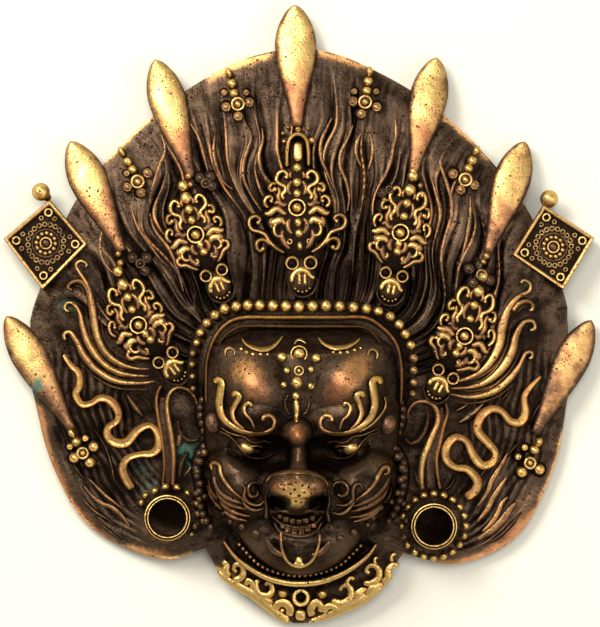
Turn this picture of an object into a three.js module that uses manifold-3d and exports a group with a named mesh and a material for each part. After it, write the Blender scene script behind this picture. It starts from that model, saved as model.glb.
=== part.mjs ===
// A cast bronze wall mask of a wrathful guardian: a domed fan of flame hair with seven blades, five crown
// skulls and two side plaques, the head standing out of it, and a collar below. It is one casting with an
// open back. Millimetres, +X to the right of the face seen from the front, +Y towards the crown, +Z out of
// the face. The origin is at the middle of the foot of the back rim, on which the mask lies.
import * as THREE from "three";
import { mergeVertices } from "three/addons/utils/BufferGeometryUtils.js";
import Module from "manifold-3d";

const wasm = await Module();
wasm.setup();

// The fan: a shallow dome that thins to its edge
const RIM_THICKNESS = 5;
const DOME_RISE = 16;
const DOME_RADIUS = { x: 112, y: 116 };
const DOME_CENTRE_Y = -6;
const WALL = 4;

// The head: a square-topped egg, its height at the edge and in the middle
const HEAD = { x: 1.2, y: -36, halfWidth: 39.5, rise: 35.2, drop: 68, edge: 24, crown: 39 };
const SQUARENESS = 3.6; // of the top: 2 is an ellipse
// The pocket behind the face, as shares of its own outline at heights over the back rim
const POCKET = { halfWidth: 34, rise: 29.5, drop: 60 };
const POCKET_RINGS = [[1, -2], [1, 16], [0.94, 24.5], [0.7, 28.5]];

// Outline of the fan and collar, each side from the crown down. The dome, the lobe and the collar are smooth
// curves through their points and meet in corners.
const OUTLINE = {
  left: {
    dome: [[0, 107.6], [-27.4, 99.6], [-58.2, 79.2], [-88.2, 46.8], [-104.2, 8], [-107.4, -2.8]],
    lobe: [[-106.6, -30.4], [-98.6, -60.4], [-83.4, -85.2], [-55.4, -98], [-37.4, -93.6]],
    collar: [[-32.6, -102], [-14.6, -114.8], [-3.4, -123.8]],
  },
  right: {
    dome: [[0, 107.6], [24, 100.6], [57, 80.8], [88.6, 46.4], [105.8, 9.2], [107.8, -3.6]],
    lobe: [[107.8, -33.2], [102.6, -60.4], [88, -88.4], [63.8, -100], [41.8, -95.6]],
    collar: [[36, -104], [20.6, -116.4], [3.8, -123.8]],
  },
};
const OUTLINE_PARTS = { dome: 11, lobe: 9, collar: 4 };
// Inner edge of the back rim, one side from the crown to the chin
const BACK_OPENING = [
  [0, 96], [40, 82], [68, 55], [88, 24], [98, -12], [97, -42], [80, -72], [54, -88], [28, -92], [0, -106],
];

// Flame hair: locks fanned round a hub between two angles, waving from side to side on their way out
const HAIR = { hub: [0, -22], from: 2, to: 178, locks: 19, height: 3.2, sway: 2.6, wavelength: 46 };
// The fan is rings of points round the hub, longer upright than sideways; locks end by turns at the two tips
const FAN_RINGS = {
  radii: [30, 46, 62, 78, 94, 110, 150], upright: 0.9, tips: [86, 100], bare: 8, drift: 0.35,
};

// Blades: both ends of the middle line and the greatest width
const BLADES = [
  { base: [-0.6, 75.6], tip: [-1.4, 124], width: 16.4 },
  { base: [-43, 55.6], tip: [-57.4, 102], width: 15.6 },
  { base: [45.8, 57.6], tip: [55, 102.8], width: 15.2 },
  { base: [-70.2, 25.6], tip: [-91.4, 69.2], width: 15.2 },
  { base: [75.4, 24.8], tip: [90.6, 69.2], width: 14.8 },
  { base: [-90.2, -45.6], tip: [-117, -0.8], width: 14.4 },
  { base: [94.6, -47.2], tip: [117.4, -2.4], width: 14 },
];
const BLADE = {
  height: 6.5, underside: 2.5, sunk: 2.5, widest: 0.7, neck: 0.26, sections: [0, 0.3, 0.54, 0.72, 0.88, 1],
};

// Crown skulls: the top of the crest, the boss of the scrollwork and the skull below it
const CROWN_SKULLS = [
  { top: [-0.6, 72.4], boss: [-0.6, 42.4], skull: [0, 15.6], width: 1 },
  { top: [-46.2, 51.6], boss: [-41, 31.6], skull: [-32.2, 9.6], width: 0.85 },
  { top: [45.8, 55.6], boss: [40.6, 32.4], skull: [35.4, 9.6], width: 0.85 },
  { top: [-72.2, 17.6], boss: [-63.8, -4.4], skull: [-50.6, -22.4], width: 0.85 },
  { top: [73.8, 15.6], boss: [66.2, -8.8], skull: [54.6, -28.4], width: 0.85 },
];
const CREST = {
  height: 4.8, depth: 7, beadRadius: 1.9, beadsAlong: [0.8, 0.45, -0.3],
  boss: { radius: 3.7, height: 3.4 }, curl: { across: 9, up: 0.17, radius: 1.9, height: 1.8 },
};
// Half of the crest's outline: millimetres across, and the share of the way to the top or, below 0, the skull
const CREST_OUTLINE = [
  [4.4, 0.96], [4.4, 0.6], [8.8, 0.5], [7.6, 0.34], [12.4, 0.28],
  [10.6, 0.04], [16.6, -0.13], [11, -0.3], [13.8, -0.5], [4.4, -0.62],
];
const SKULL = {
  halfWidth: 6.6, up: 8.5, down: 9, height: 8, eye: { apart: 3.2, up: 2.6, radius: 2.1, depth: 4 },
};

// Flower drops on the fan: the flower's middle and the lean of its stalk in degrees
const DROPS = [
  { at: [-24.2, 84], lean: 17 },
  { at: [26.6, 84.4], lean: -8 },
  { at: [-64.2, 52.8], lean: 28 },
  { at: [66.6, 53.6], lean: -20 },
  { at: [-86.2, -55.6], lean: 30 },
  { at: [92.6, -59.6], lean: -25 },
];
const DROP = {
  centreRadius: 3, petalRadius: 2.1, petalCircle: 5.3, petals: [0, 180, 270],
  stalk: { path: [2, 13], halfWidth: 1.7, height: 2.8 },
};

// Side plaques: the middle, the turn in degrees and the ball on the upper corner
const PLAQUES = [
  { at: [-101.4, 28.4], turn: 41, ball: [-102.2, 48.4] },
  { at: [101.8, 26.8], turn: 57, ball: [100.2, 46] },
];
const PLAQUE = {
  side: 24.4, border: 2, foot: 4, top: 13, sunk: 1.6, ball: 4, boss: 3.4, cornerIn: 5, cornerBead: 1.8,
};

// Ear spools: cups that stop at the fan, with the arc of beads round each in degrees
const SPOOLS = [
  { at: [-52.2, -80.8], beads: [-30, 165] },
  { at: [53.8, -84.8], beads: [0, 360] },
];
const SPOOL = { bore: 7.2, radius: 9.2, top: 21, foot: 5, beadCircle: 12.2, beadRadius: 1.6, beadStep: 30 };

// The frame of the forehead, in millimetres out from the head's outline: a lip, then a shelf of beads
const HAIRLINE = {
  inner: -3, step: 1, outer: 6.4, lip: 27.6, shelf: 24.6, foot: 12, beadOut: 3.8, past: 0.12,
};
const HAIRLINE_BEADS = { count: 23, radius: 2.1, height: 2.4 };

// Swellings and hollows of the face: middle, half-widths, rise, and how sharply each falls away
const FACE_FORMS = [
  { x: 0, y: -8, rx: 34, ry: 9, rise: -5, fall: 1.5 }, // hollow under the hairline
  { x: 20.5, y: -25, rx: 17, ry: 15, rise: 8.5, fall: 1.4, pair: true }, // brow
  { x: 0, y: -46.4, rx: 8, ry: 8, rise: 8, fall: 1 }, // root of the nose
  { x: 17, y: -42, rx: 17, ry: 7, rise: 4, fall: 1.2, pair: true }, // ledge under the brow
  { x: 15, y: -55, rx: 14, ry: 8, rise: -7, fall: 1.2, pair: true }, // eye socket
  { x: 18.5, y: -53.5, rx: 6.5, ry: 4.5, rise: 5, fall: 0.8, pair: true }, // eye
  { x: 0, y: -57, rx: 5, ry: 12, rise: 5, fall: 1.2 }, // bridge
  { x: 0, y: -69, rx: 12, ry: 9, rise: 20, fall: 0.75 }, // tip of the nose
  { x: 10.5, y: -69.5, rx: 6, ry: 5.5, rise: 9, fall: 1, pair: true }, // nostril
  { x: 27, y: -69, rx: 15, ry: 17, rise: 9, fall: 0.9, pair: true }, // cheek
  { x: 16, y: -73, rx: 9, ry: 12, rise: 5, fall: 1.2, pair: true }, // muzzle
  { x: 0, y: -79, rx: 13, ry: 7, rise: -3, fall: 1.2 }, // mouth
  { x: 0, y: -84, rx: 13, ry: 5, rise: 6, fall: 1 }, // lower teeth
  { x: 0, y: -95, rx: 22, ry: 12, rise: 6, fall: 1.1 }, // chin
];

// Ridges of the face's right half, mirrored for the left: points, half-width and height
const FACE_RIDGES = [
  { path: [[32.6, -25.6], [31, -37], [22.6, -46], [12, -46.4], [10, -41], [15, -40]], wide: 1.7, high: 1.8 },
  { path: [[24.6, -30.6], [26, -38.6], [18.4, -46.2]], wide: 1.5, high: 1.6 },
  { path: [[17.8, -37.6], [21.4, -37.2], [14.6, -46.2]], wide: 1.4, high: 1.6 },
  { path: [[33, -63], [30.6, -71], [22.6, -75.6]], wide: 1.7, high: 1.4 },
  { path: [[13, -70.6], [20, -68], [20.4, -74], [12, -83]], wide: 1.5, high: 1.4 },
];
const NOSE_RIDGE = { path: [[0, -30], [0, -37], [0, -43]], wide: 2, high: 2 };
// Jewels of the forehead: middle and radius, from the hairline down
const JEWELS = [
  [0, -15.6, 2.7], [-6.4, -17.4, 2], [7.4, -17.6, 2], [-4.4, -22, 1.5], [5.2, -22, 1.5], [0, -27.2, 2.5],
];
const TEETH = { count: 5, pitch: 5, y: -82.2, arch: 0.16, halfWidth: 1.8, halfHeight: 1.4, top: 50.5 };
const TONGUE = { root: -84, tip: -100.4, halfWidth: 7.6, top: 50, fall: 7, round: 1.5, foot: 34 };

// Rolled edges of the ears, from the lobe up and over
const EARS = {
  left: [[-49, -62], [-48.4, -54], [-53.6, -40], [-51, -30.6], [-44.4, -30.6], [-42.6, -40]],
  right: [[50.4, -66], [51.6, -56], [56, -44], [52.6, -33.4], [45.8, -33], [43.8, -38.4]],
};
// Plumes that sweep out from the outer skulls and curl over at the ends
const PLUMES = {
  left: [
    [[-57, -21.8], [-71, -20], [-81, -5], [-85.4, 13], [-90.6, 17], [-92.4, 12.4]],
    [[-58, -26.4], [-74, -24.4], [-85, -7], [-91, 4], [-94.4, 0.6]],
    [[-60, -30.6], [-78, -27], [-88, -12], [-94, -8], [-95, -12]],
  ],
  right: [
    [[60, -26.4], [72, -24], [81, -9], [86, 9], [91, 14.4], [93.6, 10]],
    [[61, -30.6], [76, -27.4], [86, -10], [92, 1.6], [95.4, -1]],
    [[62, -34.8], [77, -32.4], [89, -17], [95, -13], [95.4, -17]],
  ],
};
// Ribbons that wind down outside the ears
const RIBBONS = {
  left: [
    [-92.2, -17.6], [-87, -24.8], [-88.4, -31.4], [-80, -34.6], [-72.2, -38.4], [-76, -44.6], [-72, -51],
    [-62, -46], [-56.6, -51.2], [-62.6, -56.4], [-68.6, -62.4], [-66.2, -70.8],
  ],
  right: [
    [96.6, -24], [90, -33], [89.4, -41], [80.4, -42.4], [71.8, -41], [75, -49.4], [78.6, -56.4], [68, -55.4],
    [60, -51.6], [61, -59.4], [70, -63.4], [71, -70.4], [66.6, -73.6],
  ],
};
const STRAP = { halfWidth: 1.9, height: 2.6 };

const NECKLACE = { halfWidth: 31, chin: -106, rise: 15, wide: 2, top: 20, foot: 3 };
const COLLAR = {
  ring: { at: [0.6, -113], radius: 3.6, bore: 1.6, top: 13, depth: 3 },
  jewel: { at: [8.4, -111.4], radius: 2.2, height: 5 },
  scroll: { wide: 1.5, high: 5 },
};
const COLLAR_SCROLLS = [
  [[9, -116.6], [15.4, -113.6], [20.6, -109], [17.4, -105.4], [13.6, -108.4]],
  [[22, -109], [27.6, -106.6], [31.4, -101.4], [27.4, -98.6], [24.4, -102]],
];
const HANGER = { middle: [0, 54], halfWidth: 9, slotHalfWidth: 5.5, halfThickness: 2, foot: 2.5, bar: 3 };

// Helpers on points

const mirrored = (points) => points.map(([x, y]) => [-x, y]);
const indices = (n) => Array.from({ length: n }, (_, i) => i);
const spread = (low, high, parts) => indices(parts + 1).map((i) => low + ((high - low) * i) / parts);
const turns = (sides) => spread(0, 2 * Math.PI, sides).slice(0, -1);

/** A point turned by degrees about the origin, then moved by an offset. */
function placed([x, y], degrees, [dx, dy]) {
  const a = THREE.MathUtils.degToRad(degrees);
  return [dx + x * Math.cos(a) - y * Math.sin(a), dy + x * Math.sin(a) + y * Math.cos(a)];
}

/** The corners of a box, given its middle and half sides. */
const box = ([x, y], w, h) => [[x - w, y - h], [x + w, y - h], [x + w, y + h], [x - w, y + h]];

/** The corners of a regular polygon. */
function polygon([x, y], radius, sides) {
  return turns(sides).map((a) => [x + radius * Math.cos(a), y + radius * Math.sin(a)]);
}

/** Evenly spaced points on a smooth curve through the given ones. */
function smooth(points, parts) {
  const curve = new THREE.SplineCurve(points.map(([x, y]) => new THREE.Vector2(x, y)));
  return curve.getSpacedPoints(parts).map((p) => [p.x, p.y]);
}

// Helpers on solids

/** A closed three.js geometry as a solid, turned right side out. */
function solidOf(geometry) {
  const bare = new THREE.BufferGeometry();
  bare.setAttribute("position", geometry.getAttribute("position"));
  bare.setIndex(geometry.index);
  const merged = mergeVertices(bare, 1e-3);
  const at = merged.getAttribute("position");
  const corners = Array.from(merged.index.array);
  const [a, b, c] = [new THREE.Vector3(), new THREE.Vector3(), new THREE.Vector3()];
  let volume = 0;
  for (let i = 0; i < corners.length; i += 3) {
    a.fromBufferAttribute(at, corners[i]);
    b.fromBufferAttribute(at, corners[i + 1]);
    c.fromBufferAttribute(at, corners[i + 2]);
    volume += a.dot(b.cross(c));
  }
  if (volume < 0) corners.reverse();
  const [vertProperties, triVerts] = [new Float32Array(at.array), new Uint32Array(corners)];
  return new wasm.Manifold(new wasm.Mesh({ numProp: 3, vertProperties, triVerts }));
}

/** A solid as a three.js geometry. */
function geometryOf(solid) {
  const mesh = solid.getMesh();
  const geometry = new THREE.BufferGeometry();
  geometry.setAttribute("position", new THREE.BufferAttribute(new Float32Array(mesh.vertProperties), 3));
  geometry.setIndex(new THREE.BufferAttribute(new Uint32Array(mesh.triVerts), 1));
  geometry.computeVertexNormals();
  return geometry;
}

/** Joins solids in pairs, so that each join stays small. */
function fuse(solids) {
  if (solids.length === 1) return solids[0];
  const half = Math.ceil(solids.length / 2);
  return fuse(solids.slice(0, half)).add(fuse(solids.slice(half)));
}

/** A solid from its corners and the corner numbers of its triangles. */
function meshed(corners, faces) {
  const geometry = new THREE.BufferGeometry();
  geometry.setAttribute("position", new THREE.Float32BufferAttribute(corners.flat(), 3));
  geometry.setIndex(faces);
  return solidOf(geometry);
}

/** A closed skin through rows of points, with each end closed by a flat fan. */
function skin(rows) {
  const n = rows[0].length;
  const faces = [];
  for (let r = 0; r + 1 < rows.length; r++) {
    for (let k = 0; k < n; k++) {
      const a = r * n + k;
      const b = r * n + ((k + 1) % n);
      faces.push(a, b, b + n, a, b + n, a + n);
    }
  }
  const end = (rows.length - 1) * n;
  for (let k = 1; k + 1 < n; k++) faces.push(0, k + 1, k, end, end + k, end + k + 1);
  return meshed(rows.flat(), faces);
}

/** An outline raised from one height to another. */
function prism(points, low, high) {
  const shape = new THREE.Shape(points.map(([x, y]) => new THREE.Vector2(x, y)));
  const geometry = new THREE.ExtrudeGeometry(shape, { depth: high - low, bevelEnabled: false, steps: 1 });
  return solidOf(geometry.translate(0, 0, low));
}

/** An outline given a depth under a plane, which is a function of x and y. */
function slab(points, plane, depth) {
  const shape = new THREE.Shape(points.map(([x, y]) => new THREE.Vector2(x, y)));
  const geometry = new THREE.ExtrudeGeometry(shape, { depth: 1, bevelEnabled: false, steps: 1 });
  const at = geometry.getAttribute("position");
  for (let i = 0; i < at.count; i++) {
    const drop = at.getZ(i) > 0.5 ? 0 : depth;
    at.setZ(i, plane(at.getX(i), at.getY(i)) - drop);
  }
  return solidOf(geometry);
}

/** A relief on square cells over a flat foot. */
function reliefBlock(xs, ys, top, foot) {
  const nx = xs.length;
  const corners = ys.flatMap((y) => xs.map((x) => [x, y, top(x, y)]));
  const border = [
    ...xs.map((_, i) => i),
    ...ys.slice(1).map((_, j) => (j + 2) * nx - 1),
    ...xs.slice(1).map((_, i) => ys.length * nx - 2 - i),
    ...ys.slice(2).map((_, j) => (ys.length - 2 - j) * nx),
  ];
  const rim = corners.length;
  const hub = rim + border.length;
  const feet = border.map((k) => [corners[k][0], corners[k][1], foot]);
  const middle = [(xs[0] + xs[nx - 1]) / 2, (ys[0] + ys[ys.length - 1]) / 2, foot];
  const faces = [];
  for (let j = 0; j + 1 < ys.length; j++) {
    for (let i = 0; i + 1 < nx; i++) {
      const a = j * nx + i;
      faces.push(a, a + 1, a + nx + 1, a, a + nx + 1, a + nx);
    }
  }
  border.forEach((k, b) => {
    const next = (b + 1) % border.length;
    faces.push(k, rim + b, rim + next, k, rim + next, border[next], hub, rim + next, rim + b);
  });
  return meshed([...corners, ...feet, middle], faces);
}

// Heights over the plane of the back rim

/** The domed front of the fan, without its hair. */
function fanTop(x, y) {
  const s = Math.hypot(x / DOME_RADIUS.x, (y - DOME_CENTRE_Y) / DOME_RADIUS.y);
  return RIM_THICKNESS + DOME_RISE * Math.max(0, 1 - s * s);
}

/** The plane that lies on the fan at a point, lifted off it. */
function fanPlane([px, py], lift) {
  const slopeX = (fanTop(px + 1, py) - fanTop(px - 1, py)) / 2;
  const slopeY = (fanTop(px, py + 1) - fanTop(px, py - 1)) / 2;
  return (x, y) => fanTop(px, py) + lift + slopeX * (x - px) + slopeY * (y - py);
}

/** 0 in the middle of a square-topped egg and 1 at its edge. */
function eggShare(x, y, { halfWidth, rise, drop }) {
  const u = Math.abs(x - HEAD.x) / halfWidth;
  const v = y - HEAD.y;
  return v > 0 ? (u ** SQUARENESS + (v / rise) ** SQUARENESS) ** (1 / SQUARENESS) : Math.hypot(u, v / drop);
}

/** The point of an egg's outline in a direction from its middle, drawn in to a share of its size. */
function eggEdge(angle, size, share = 1) {
  const [c, s] = [Math.cos(angle), Math.sin(angle)];
  const reach = share / eggShare(HEAD.x + c, HEAD.y + s, size);
  return [HEAD.x + c * reach, HEAD.y + s * reach];
}

/** The same for the head's outline, grown outwards by millimetres. */
function headEdge(angle, grow = 0) {
  return eggEdge(angle, { halfWidth: HEAD.halfWidth + grow, rise: HEAD.rise + grow, drop: HEAD.drop + grow });
}

function faceTop(x, y) {
  const share = Math.min(1, eggShare(x, y, HEAD));
  let z = HEAD.edge + (HEAD.crown - HEAD.edge) * (1 - share ** 4);
  for (const f of FACE_FORMS) {
    for (const side of f.pair ? [-1, 1] : [1]) {
      const squared = ((x - side * f.x) / f.rx) ** 2 + ((y - f.y) / f.ry) ** 2;
      if (squared < 1) z += f.rise * (1 - squared) ** f.fall;
    }
  }
  return z;
}

/** Height of whatever a small ornament sits on. */
const ground = (x, y) => (eggShare(x, y, HEAD) < 1 ? faceTop(x, y) : fanTop(x, y));

// Small ornaments

/** A ridge with a sharp crest laid along a path, narrower towards its ends by the given shares. */
function ridge(path, { wide, high, base = ground, sunk = 1.2, start = 0.5, end = 0.4 }) {
  const last = path.length - 1;
  const rows = path.map(([x, y], i) => {
    const [ax, ay] = path[Math.max(0, i - 1)];
    const [bx, by] = path[Math.min(last, i + 1)];
    const t = i / last;
    const w = (wide * Math.min(1, start + 3 * t, end + 3 * (1 - t))) / Math.hypot(bx - ax, by - ay);
    const [dx, dy] = [-(by - ay) * w, (bx - ax) * w];
    const foot = (side) => [x + side * dx, y + side * dy, base(x + side * dx, y + side * dy) - sunk];
    return [foot(1), [x, y, base(x, y) + high], foot(-1)];
  });
  return skin(rows);
}

/** A faceted bead sunk a little into the ground; one with few sides has a single slope. */
function bead([x, y], radius, { sides = 4, high = radius * 1.1, base = ground } = {}) {
  const z = base(x, y);
  const ring = (r, h) => polygon([x, y], r, sides).map((p) => [...p, z + h]);
  const shoulder = sides > 6 ? [ring(radius, high * 0.35)] : [];
  return skin([ring(radius * 1.05, -2), ...shoulder, ring(radius * 0.55, high)]);
}

// Parts of the casting

/** The dome with its hair, as rings of points round the hub. */
function fanDome() {
  const { hub, from, to, locks, height, sway, wavelength } = HAIR;
  const { radii, upright, tips, bare, drift } = FAN_RINGS;
  const outermost = radii[radii.length - 1];
  // Each lock is one crest line between two valley lines; below the hair the lines carry no lock.
  const combed = spread(from, to, 2 * locks);
  const lines = [...combed, ...spread(to, 360 + from, bare).slice(1, -1)];
  const rings = radii.map((radius) => lines.map((angle, k) => {
    const waving = k < combed.length && radius > radii[0] && radius < outermost;
    const [lock, crest] = [k >> 1, k % 2 === 1];
    const shift = waving ? (sway / radius) * Math.sin((2 * Math.PI * radius) / wavelength + lock * drift) : 0;
    const a = THREE.MathUtils.degToRad(angle) + shift;
    const reach = radius / Math.hypot(Math.cos(a), Math.sin(a) * upright);
    const [x, y] = [hub[0] + reach * Math.cos(a), hub[1] + reach * Math.sin(a)];
    const lift = crest && waving && radius < tips[lock % 2] ? height : 0;
    return [x, y, fanTop(x, y) + lift];
  }));
  const foot = rings[rings.length - 1].map(([x, y]) => [x, y, 0]);
  return skin([...rings, foot]);
}

function fan() {
  const side = ({ dome, lobe, collar }) => [
    ...smooth(dome, OUTLINE_PARTS.dome),
    ...smooth(lobe, OUTLINE_PARTS.lobe),
    ...smooth(collar, OUTLINE_PARTS.collar),
  ];
  const outline = [...side(OUTLINE.left), ...side(OUTLINE.right).slice(1).reverse()];
  return prism(outline, -5, 60).intersect(fanDome());
}

/** The open back: the fan less its wall, and the deep pocket behind the face. */
function openBack() {
  const half = smooth(BACK_OPENING, 11);
  const edge = [...half, ...mirrored(half).slice(1, -1).reverse()];
  const under = (x, y) => fanTop(x, y) - WALL;
  const underside = reliefBlock(spread(-110, 110, 7), spread(-120, 110, 7), under, -3);
  const shell = prism(edge, -10, 60).intersect(underside);
  const pocket = POCKET_RINGS.map(([share, z]) => turns(16).map((a) => [...eggEdge(a, POCKET, share), z]));
  return shell.add(skin(pocket));
}

function head() {
  const margin = 1;
  const xs = spread(HEAD.x - HEAD.halfWidth - margin, HEAD.x + HEAD.halfWidth + margin, 16);
  const ys = spread(HEAD.y - HEAD.drop - margin, HEAD.y + HEAD.rise + margin, 20);
  const edge = turns(28).map((a) => headEdge(a));
  return prism(edge, 5, 90).intersect(reliefBlock(xs, ys, faceTop, 4));
}

/** A long leaf that swells towards its rounded tip. */
function blade({ base, tip, width }) {
  const along = [tip[0] - base[0], tip[1] - base[1]];
  const length = Math.hypot(...along);
  const [nx, ny] = [-along[1] / length, along[0] / length];
  const { widest, neck, sections, height, underside, sunk } = BLADE;
  const rows = sections.map((t) => {
    const swell = t < widest
      ? neck + (1 - neck) * 0.5 * (1 - Math.cos((Math.PI * t) / widest))
      : Math.max(0.06, 1 - ((t - widest) / (1 - widest)) ** 2) ** 0.7;
    const w = (width / 2) * swell;
    const [x, y] = [base[0] + along[0] * t, base[1] + along[1] * t];
    const low = Math.max(underside, fanTop(x, y) - sunk);
    const high = fanTop(x, y) + height * Math.min(1, swell + 0.35) * (1 - 0.35 * t);
    const shoulder = low + (high - low) * 0.6;
    const at = (side, z) => [x + side * nx * w, y + side * ny * w, z];
    return [at(1, low), at(0.92, shoulder), at(0, high), at(-0.92, shoulder), at(-1, low)];
  });
  return skin(rows);
}

/** A crest of scrolls and beads over a skull. */
function crownSkull({ top, boss, skull, width }) {
  const up = [top[0] - boss[0], top[1] - boss[1]];
  const down = [boss[0] - skull[0], boss[1] - skull[1]];
  const axis = [up[0] + down[0], up[1] + down[1]];
  const across = [(width * axis[1]) / Math.hypot(...axis), (-width * axis[0]) / Math.hypot(...axis)];
  // u is millimetres across, v runs from -1 at the skull through 0 at the boss to 1 at the top
  const place = (u, v) => {
    const line = v > 0 ? up : down;
    return [boss[0] + line[0] * v + across[0] * u, boss[1] + line[1] * v + across[1] * u];
  };
  const c = CREST;
  const base = fanPlane(boss, c.height);
  const half = (sign) => CREST_OUTLINE.map(([u, v]) => place(sign * u, v));
  const { across: out, up: upward, radius, height } = c.curl;
  const curl = (sign) => bead(place(sign * out, upward), radius, { base, high: height });
  const crest = [
    slab([place(0, 1), ...half(1), ...half(-1).reverse()], base, c.depth),
    bead(place(0, 0), c.boss.radius, { sides: 6, base, high: c.boss.height }),
    ...c.beadsAlong.map((v) => bead(place(0, v), c.beadRadius, { base })),
    curl(-1),
    curl(1),
  ];
  const s = SKULL;
  const unit = 1 / Math.hypot(...down);
  const ring = (share, lift) => turns(6).map((a) => {
    const v = Math.sin(a) * share * unit * (Math.sin(a) > 0 ? s.up : s.down);
    const [x, y] = place(Math.cos(a) * share * s.halfWidth, v - 1);
    return [x, y, fanTop(x, y) + lift];
  });
  let bone = skin([ring(1, -1.5), ring(0.95, s.height * 0.55), ring(0.55, s.height)]);
  for (const sign of [-1, 1]) {
    const eye = place(sign * s.eye.apart, s.eye.up * unit - 1);
    bone = bone.subtract(prism(polygon(eye, s.eye.radius, 4), fanTop(...eye) + s.height - s.eye.depth, 60));
  }
  return [...crest, bone];
}

function drop({ at, lean }) {
  const { centreRadius, petalRadius, petalCircle, petals, stalk } = DROP;
  const around = petals.map((angle) => bead(placed([petalCircle, 0], angle + lean, at), petalRadius));
  const stem = stalk.path.map((v) => placed([0, v], lean, at));
  const flower = [bead(at, centreRadius, { sides: 5 }), ...around];
  return [...flower, ridge(stem, { wide: stalk.halfWidth, high: stalk.height })];
}

function plaque({ at, turn, ball }) {
  const p = PLAQUE;
  const square = (half) => box([0, 0], half, half).map((corner) => placed(corner, turn, at));
  const floor = p.top - p.sunk;
  const field = prism(square(p.side / 2 - p.border), floor, p.top + 5);
  const base = () => floor;
  return [
    prism(square(p.side / 2), p.foot, p.top).subtract(field),
    bead(at, p.boss, { sides: 8, base, high: 2 }),
    ...square(p.side / 2 - p.cornerIn).map((corner) => bead(corner, p.cornerBead, { base, high: 1.4 })),
    bead(ball, p.ball, { sides: 8, base: () => p.foot + 3, high: p.top - p.foot - 4 }),
  ];
}

function spool({ at, beads }) {
  const s = SPOOL;
  const bore = prism(polygon(at, s.bore, 14), s.foot - 1, s.top + 1);
  const cup = prism(polygon(at, s.radius, 14), s.foot, s.top).subtract(bore);
  const [from, to] = beads;
  const count = Math.round((to - from) / s.beadStep);
  const around = spread(from, to, count).slice(0, count);
  return [cup, ...around.map((a) => bead(placed([s.beadCircle, 0], a, at), s.beadRadius, { high: 2.2 }))];
}

/** The frame of the forehead: a lip against the face, and a shelf outside it that carries a row of beads. */
function hairline() {
  const { inner, step, outer, lip, shelf, foot, beadOut, past } = HAIRLINE;
  const profile = [[inner, foot], [inner, lip], [step, lip], [step, shelf], [outer, shelf], [outer, foot]];
  const section = (a) => profile.map(([grow, z]) => [...headEdge(a, grow), z]);
  const { count, radius, height } = HAIRLINE_BEADS;
  const row = spread(-past / 2, Math.PI + past / 2, count).map((a) => headEdge(a, beadOut));
  return [
    skin(spread(-past, Math.PI + past, 15).map(section)),
    ...row.map((p) => bead(p, radius, { base: () => shelf, high: height })),
  ];
}

/** Brows, whiskers, forehead jewels, teeth and tongue. */
function features() {
  const sunk = 2.5;
  const solids = JEWELS.map(([x, y, r]) => bead([x, y], r, { sides: 5 }));
  for (const { path, wide, high } of FACE_RIDGES) {
    solids.push(ridge(path, { wide, high, sunk }), ridge(mirrored(path), { wide, high, sunk }));
  }
  solids.push(ridge(NOSE_RIDGE.path, { ...NOSE_RIDGE, sunk, start: 1, end: 1 }));
  const t = TEETH;
  for (const k of spread(-(t.count - 1) / 2, (t.count - 1) / 2, t.count - 1)) {
    const middle = [k * t.pitch, t.y + t.arch * k * k];
    solids.push(prism(box(middle, t.halfWidth, t.halfHeight), TONGUE.foot, t.top - 0.5 * Math.abs(k)));
  }
  const g = TONGUE;
  const rows = spread(0, 1, 5).map((v) => {
    const w = g.halfWidth * Math.sqrt(1.02 - v ** 4);
    const [y, z] = [g.root + (g.tip - g.root) * v, g.top - g.fall * v * v];
    return [[-w, y, g.foot], [-w, y, z - g.round], [0, y, z], [w, y, z - g.round], [w, y, g.foot]];
  });
  return [...solids, skin(rows)];
}

/** Ears, plumes and ribbons of both sides. */
function straps() {
  const paths = [EARS.left, EARS.right, ...PLUMES.left, ...PLUMES.right, RIBBONS.left, RIBBONS.right];
  return paths.map((path) => ridge(path, { wide: STRAP.halfWidth, high: STRAP.height, base: fanTop }));
}

function collar() {
  const n = NECKLACE;
  const { ring, jewel, scroll } = COLLAR;
  const neck = spread(-1, 1, 10).map((t) => [HEAD.x + t * n.halfWidth, n.chin + n.rise * t * t]);
  const eyelet = prism(polygon(ring.at, ring.radius, 8), 4, ring.top);
  const solids = [
    ridge(neck, { wide: n.wide, high: n.top, base: () => 0, sunk: -n.foot, start: 1, end: 1 }),
    eyelet.subtract(prism(polygon(ring.at, ring.bore, 6), ring.top - ring.depth, 20)),
  ];
  for (const side of [-1, 1]) {
    solids.push(bead([side * jewel.at[0], jewel.at[1]], jewel.radius, { high: jewel.height }));
    for (const path of COLLAR_SCROLLS) {
      solids.push(ridge(side > 0 ? path : mirrored(path), { ...scroll, base: fanTop }));
    }
  }
  return solids;
}

/** A lug cast on the back behind the crown, with a slot through it for a wire. */
function hanger() {
  const { middle, halfWidth, slotHalfWidth, halfThickness, foot, bar } = HANGER;
  const lug = prism(box(middle, halfWidth, halfThickness), foot, fanTop(...middle) - 1);
  return lug.subtract(prism(box(middle, slotHalfWidth, halfThickness + 1), foot + bar, 30));
}

function casting() {
  const raised = [
    ...BLADES.map(blade),
    ...[CROWN_SKULLS.map(crownSkull), DROPS.map(drop), PLAQUES.map(plaque), SPOOLS.map(spool)].flat(2),
    ...[hairline(), features(), straps(), collar()].flat(),
  ];
  return fuse([fan(), head(), ...raised]).subtract(openBack()).add(hanger());
}

const mask = new THREE.Mesh(
  geometryOf(casting()),
  new THREE.MeshStandardMaterial({ name: "bronze", color: 0x4a3626, roughness: 0.42, metalness: 0.9 }),
);
mask.name = "mask";

const group = new THREE.Group();
group.add(mask);

export default group;
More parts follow.
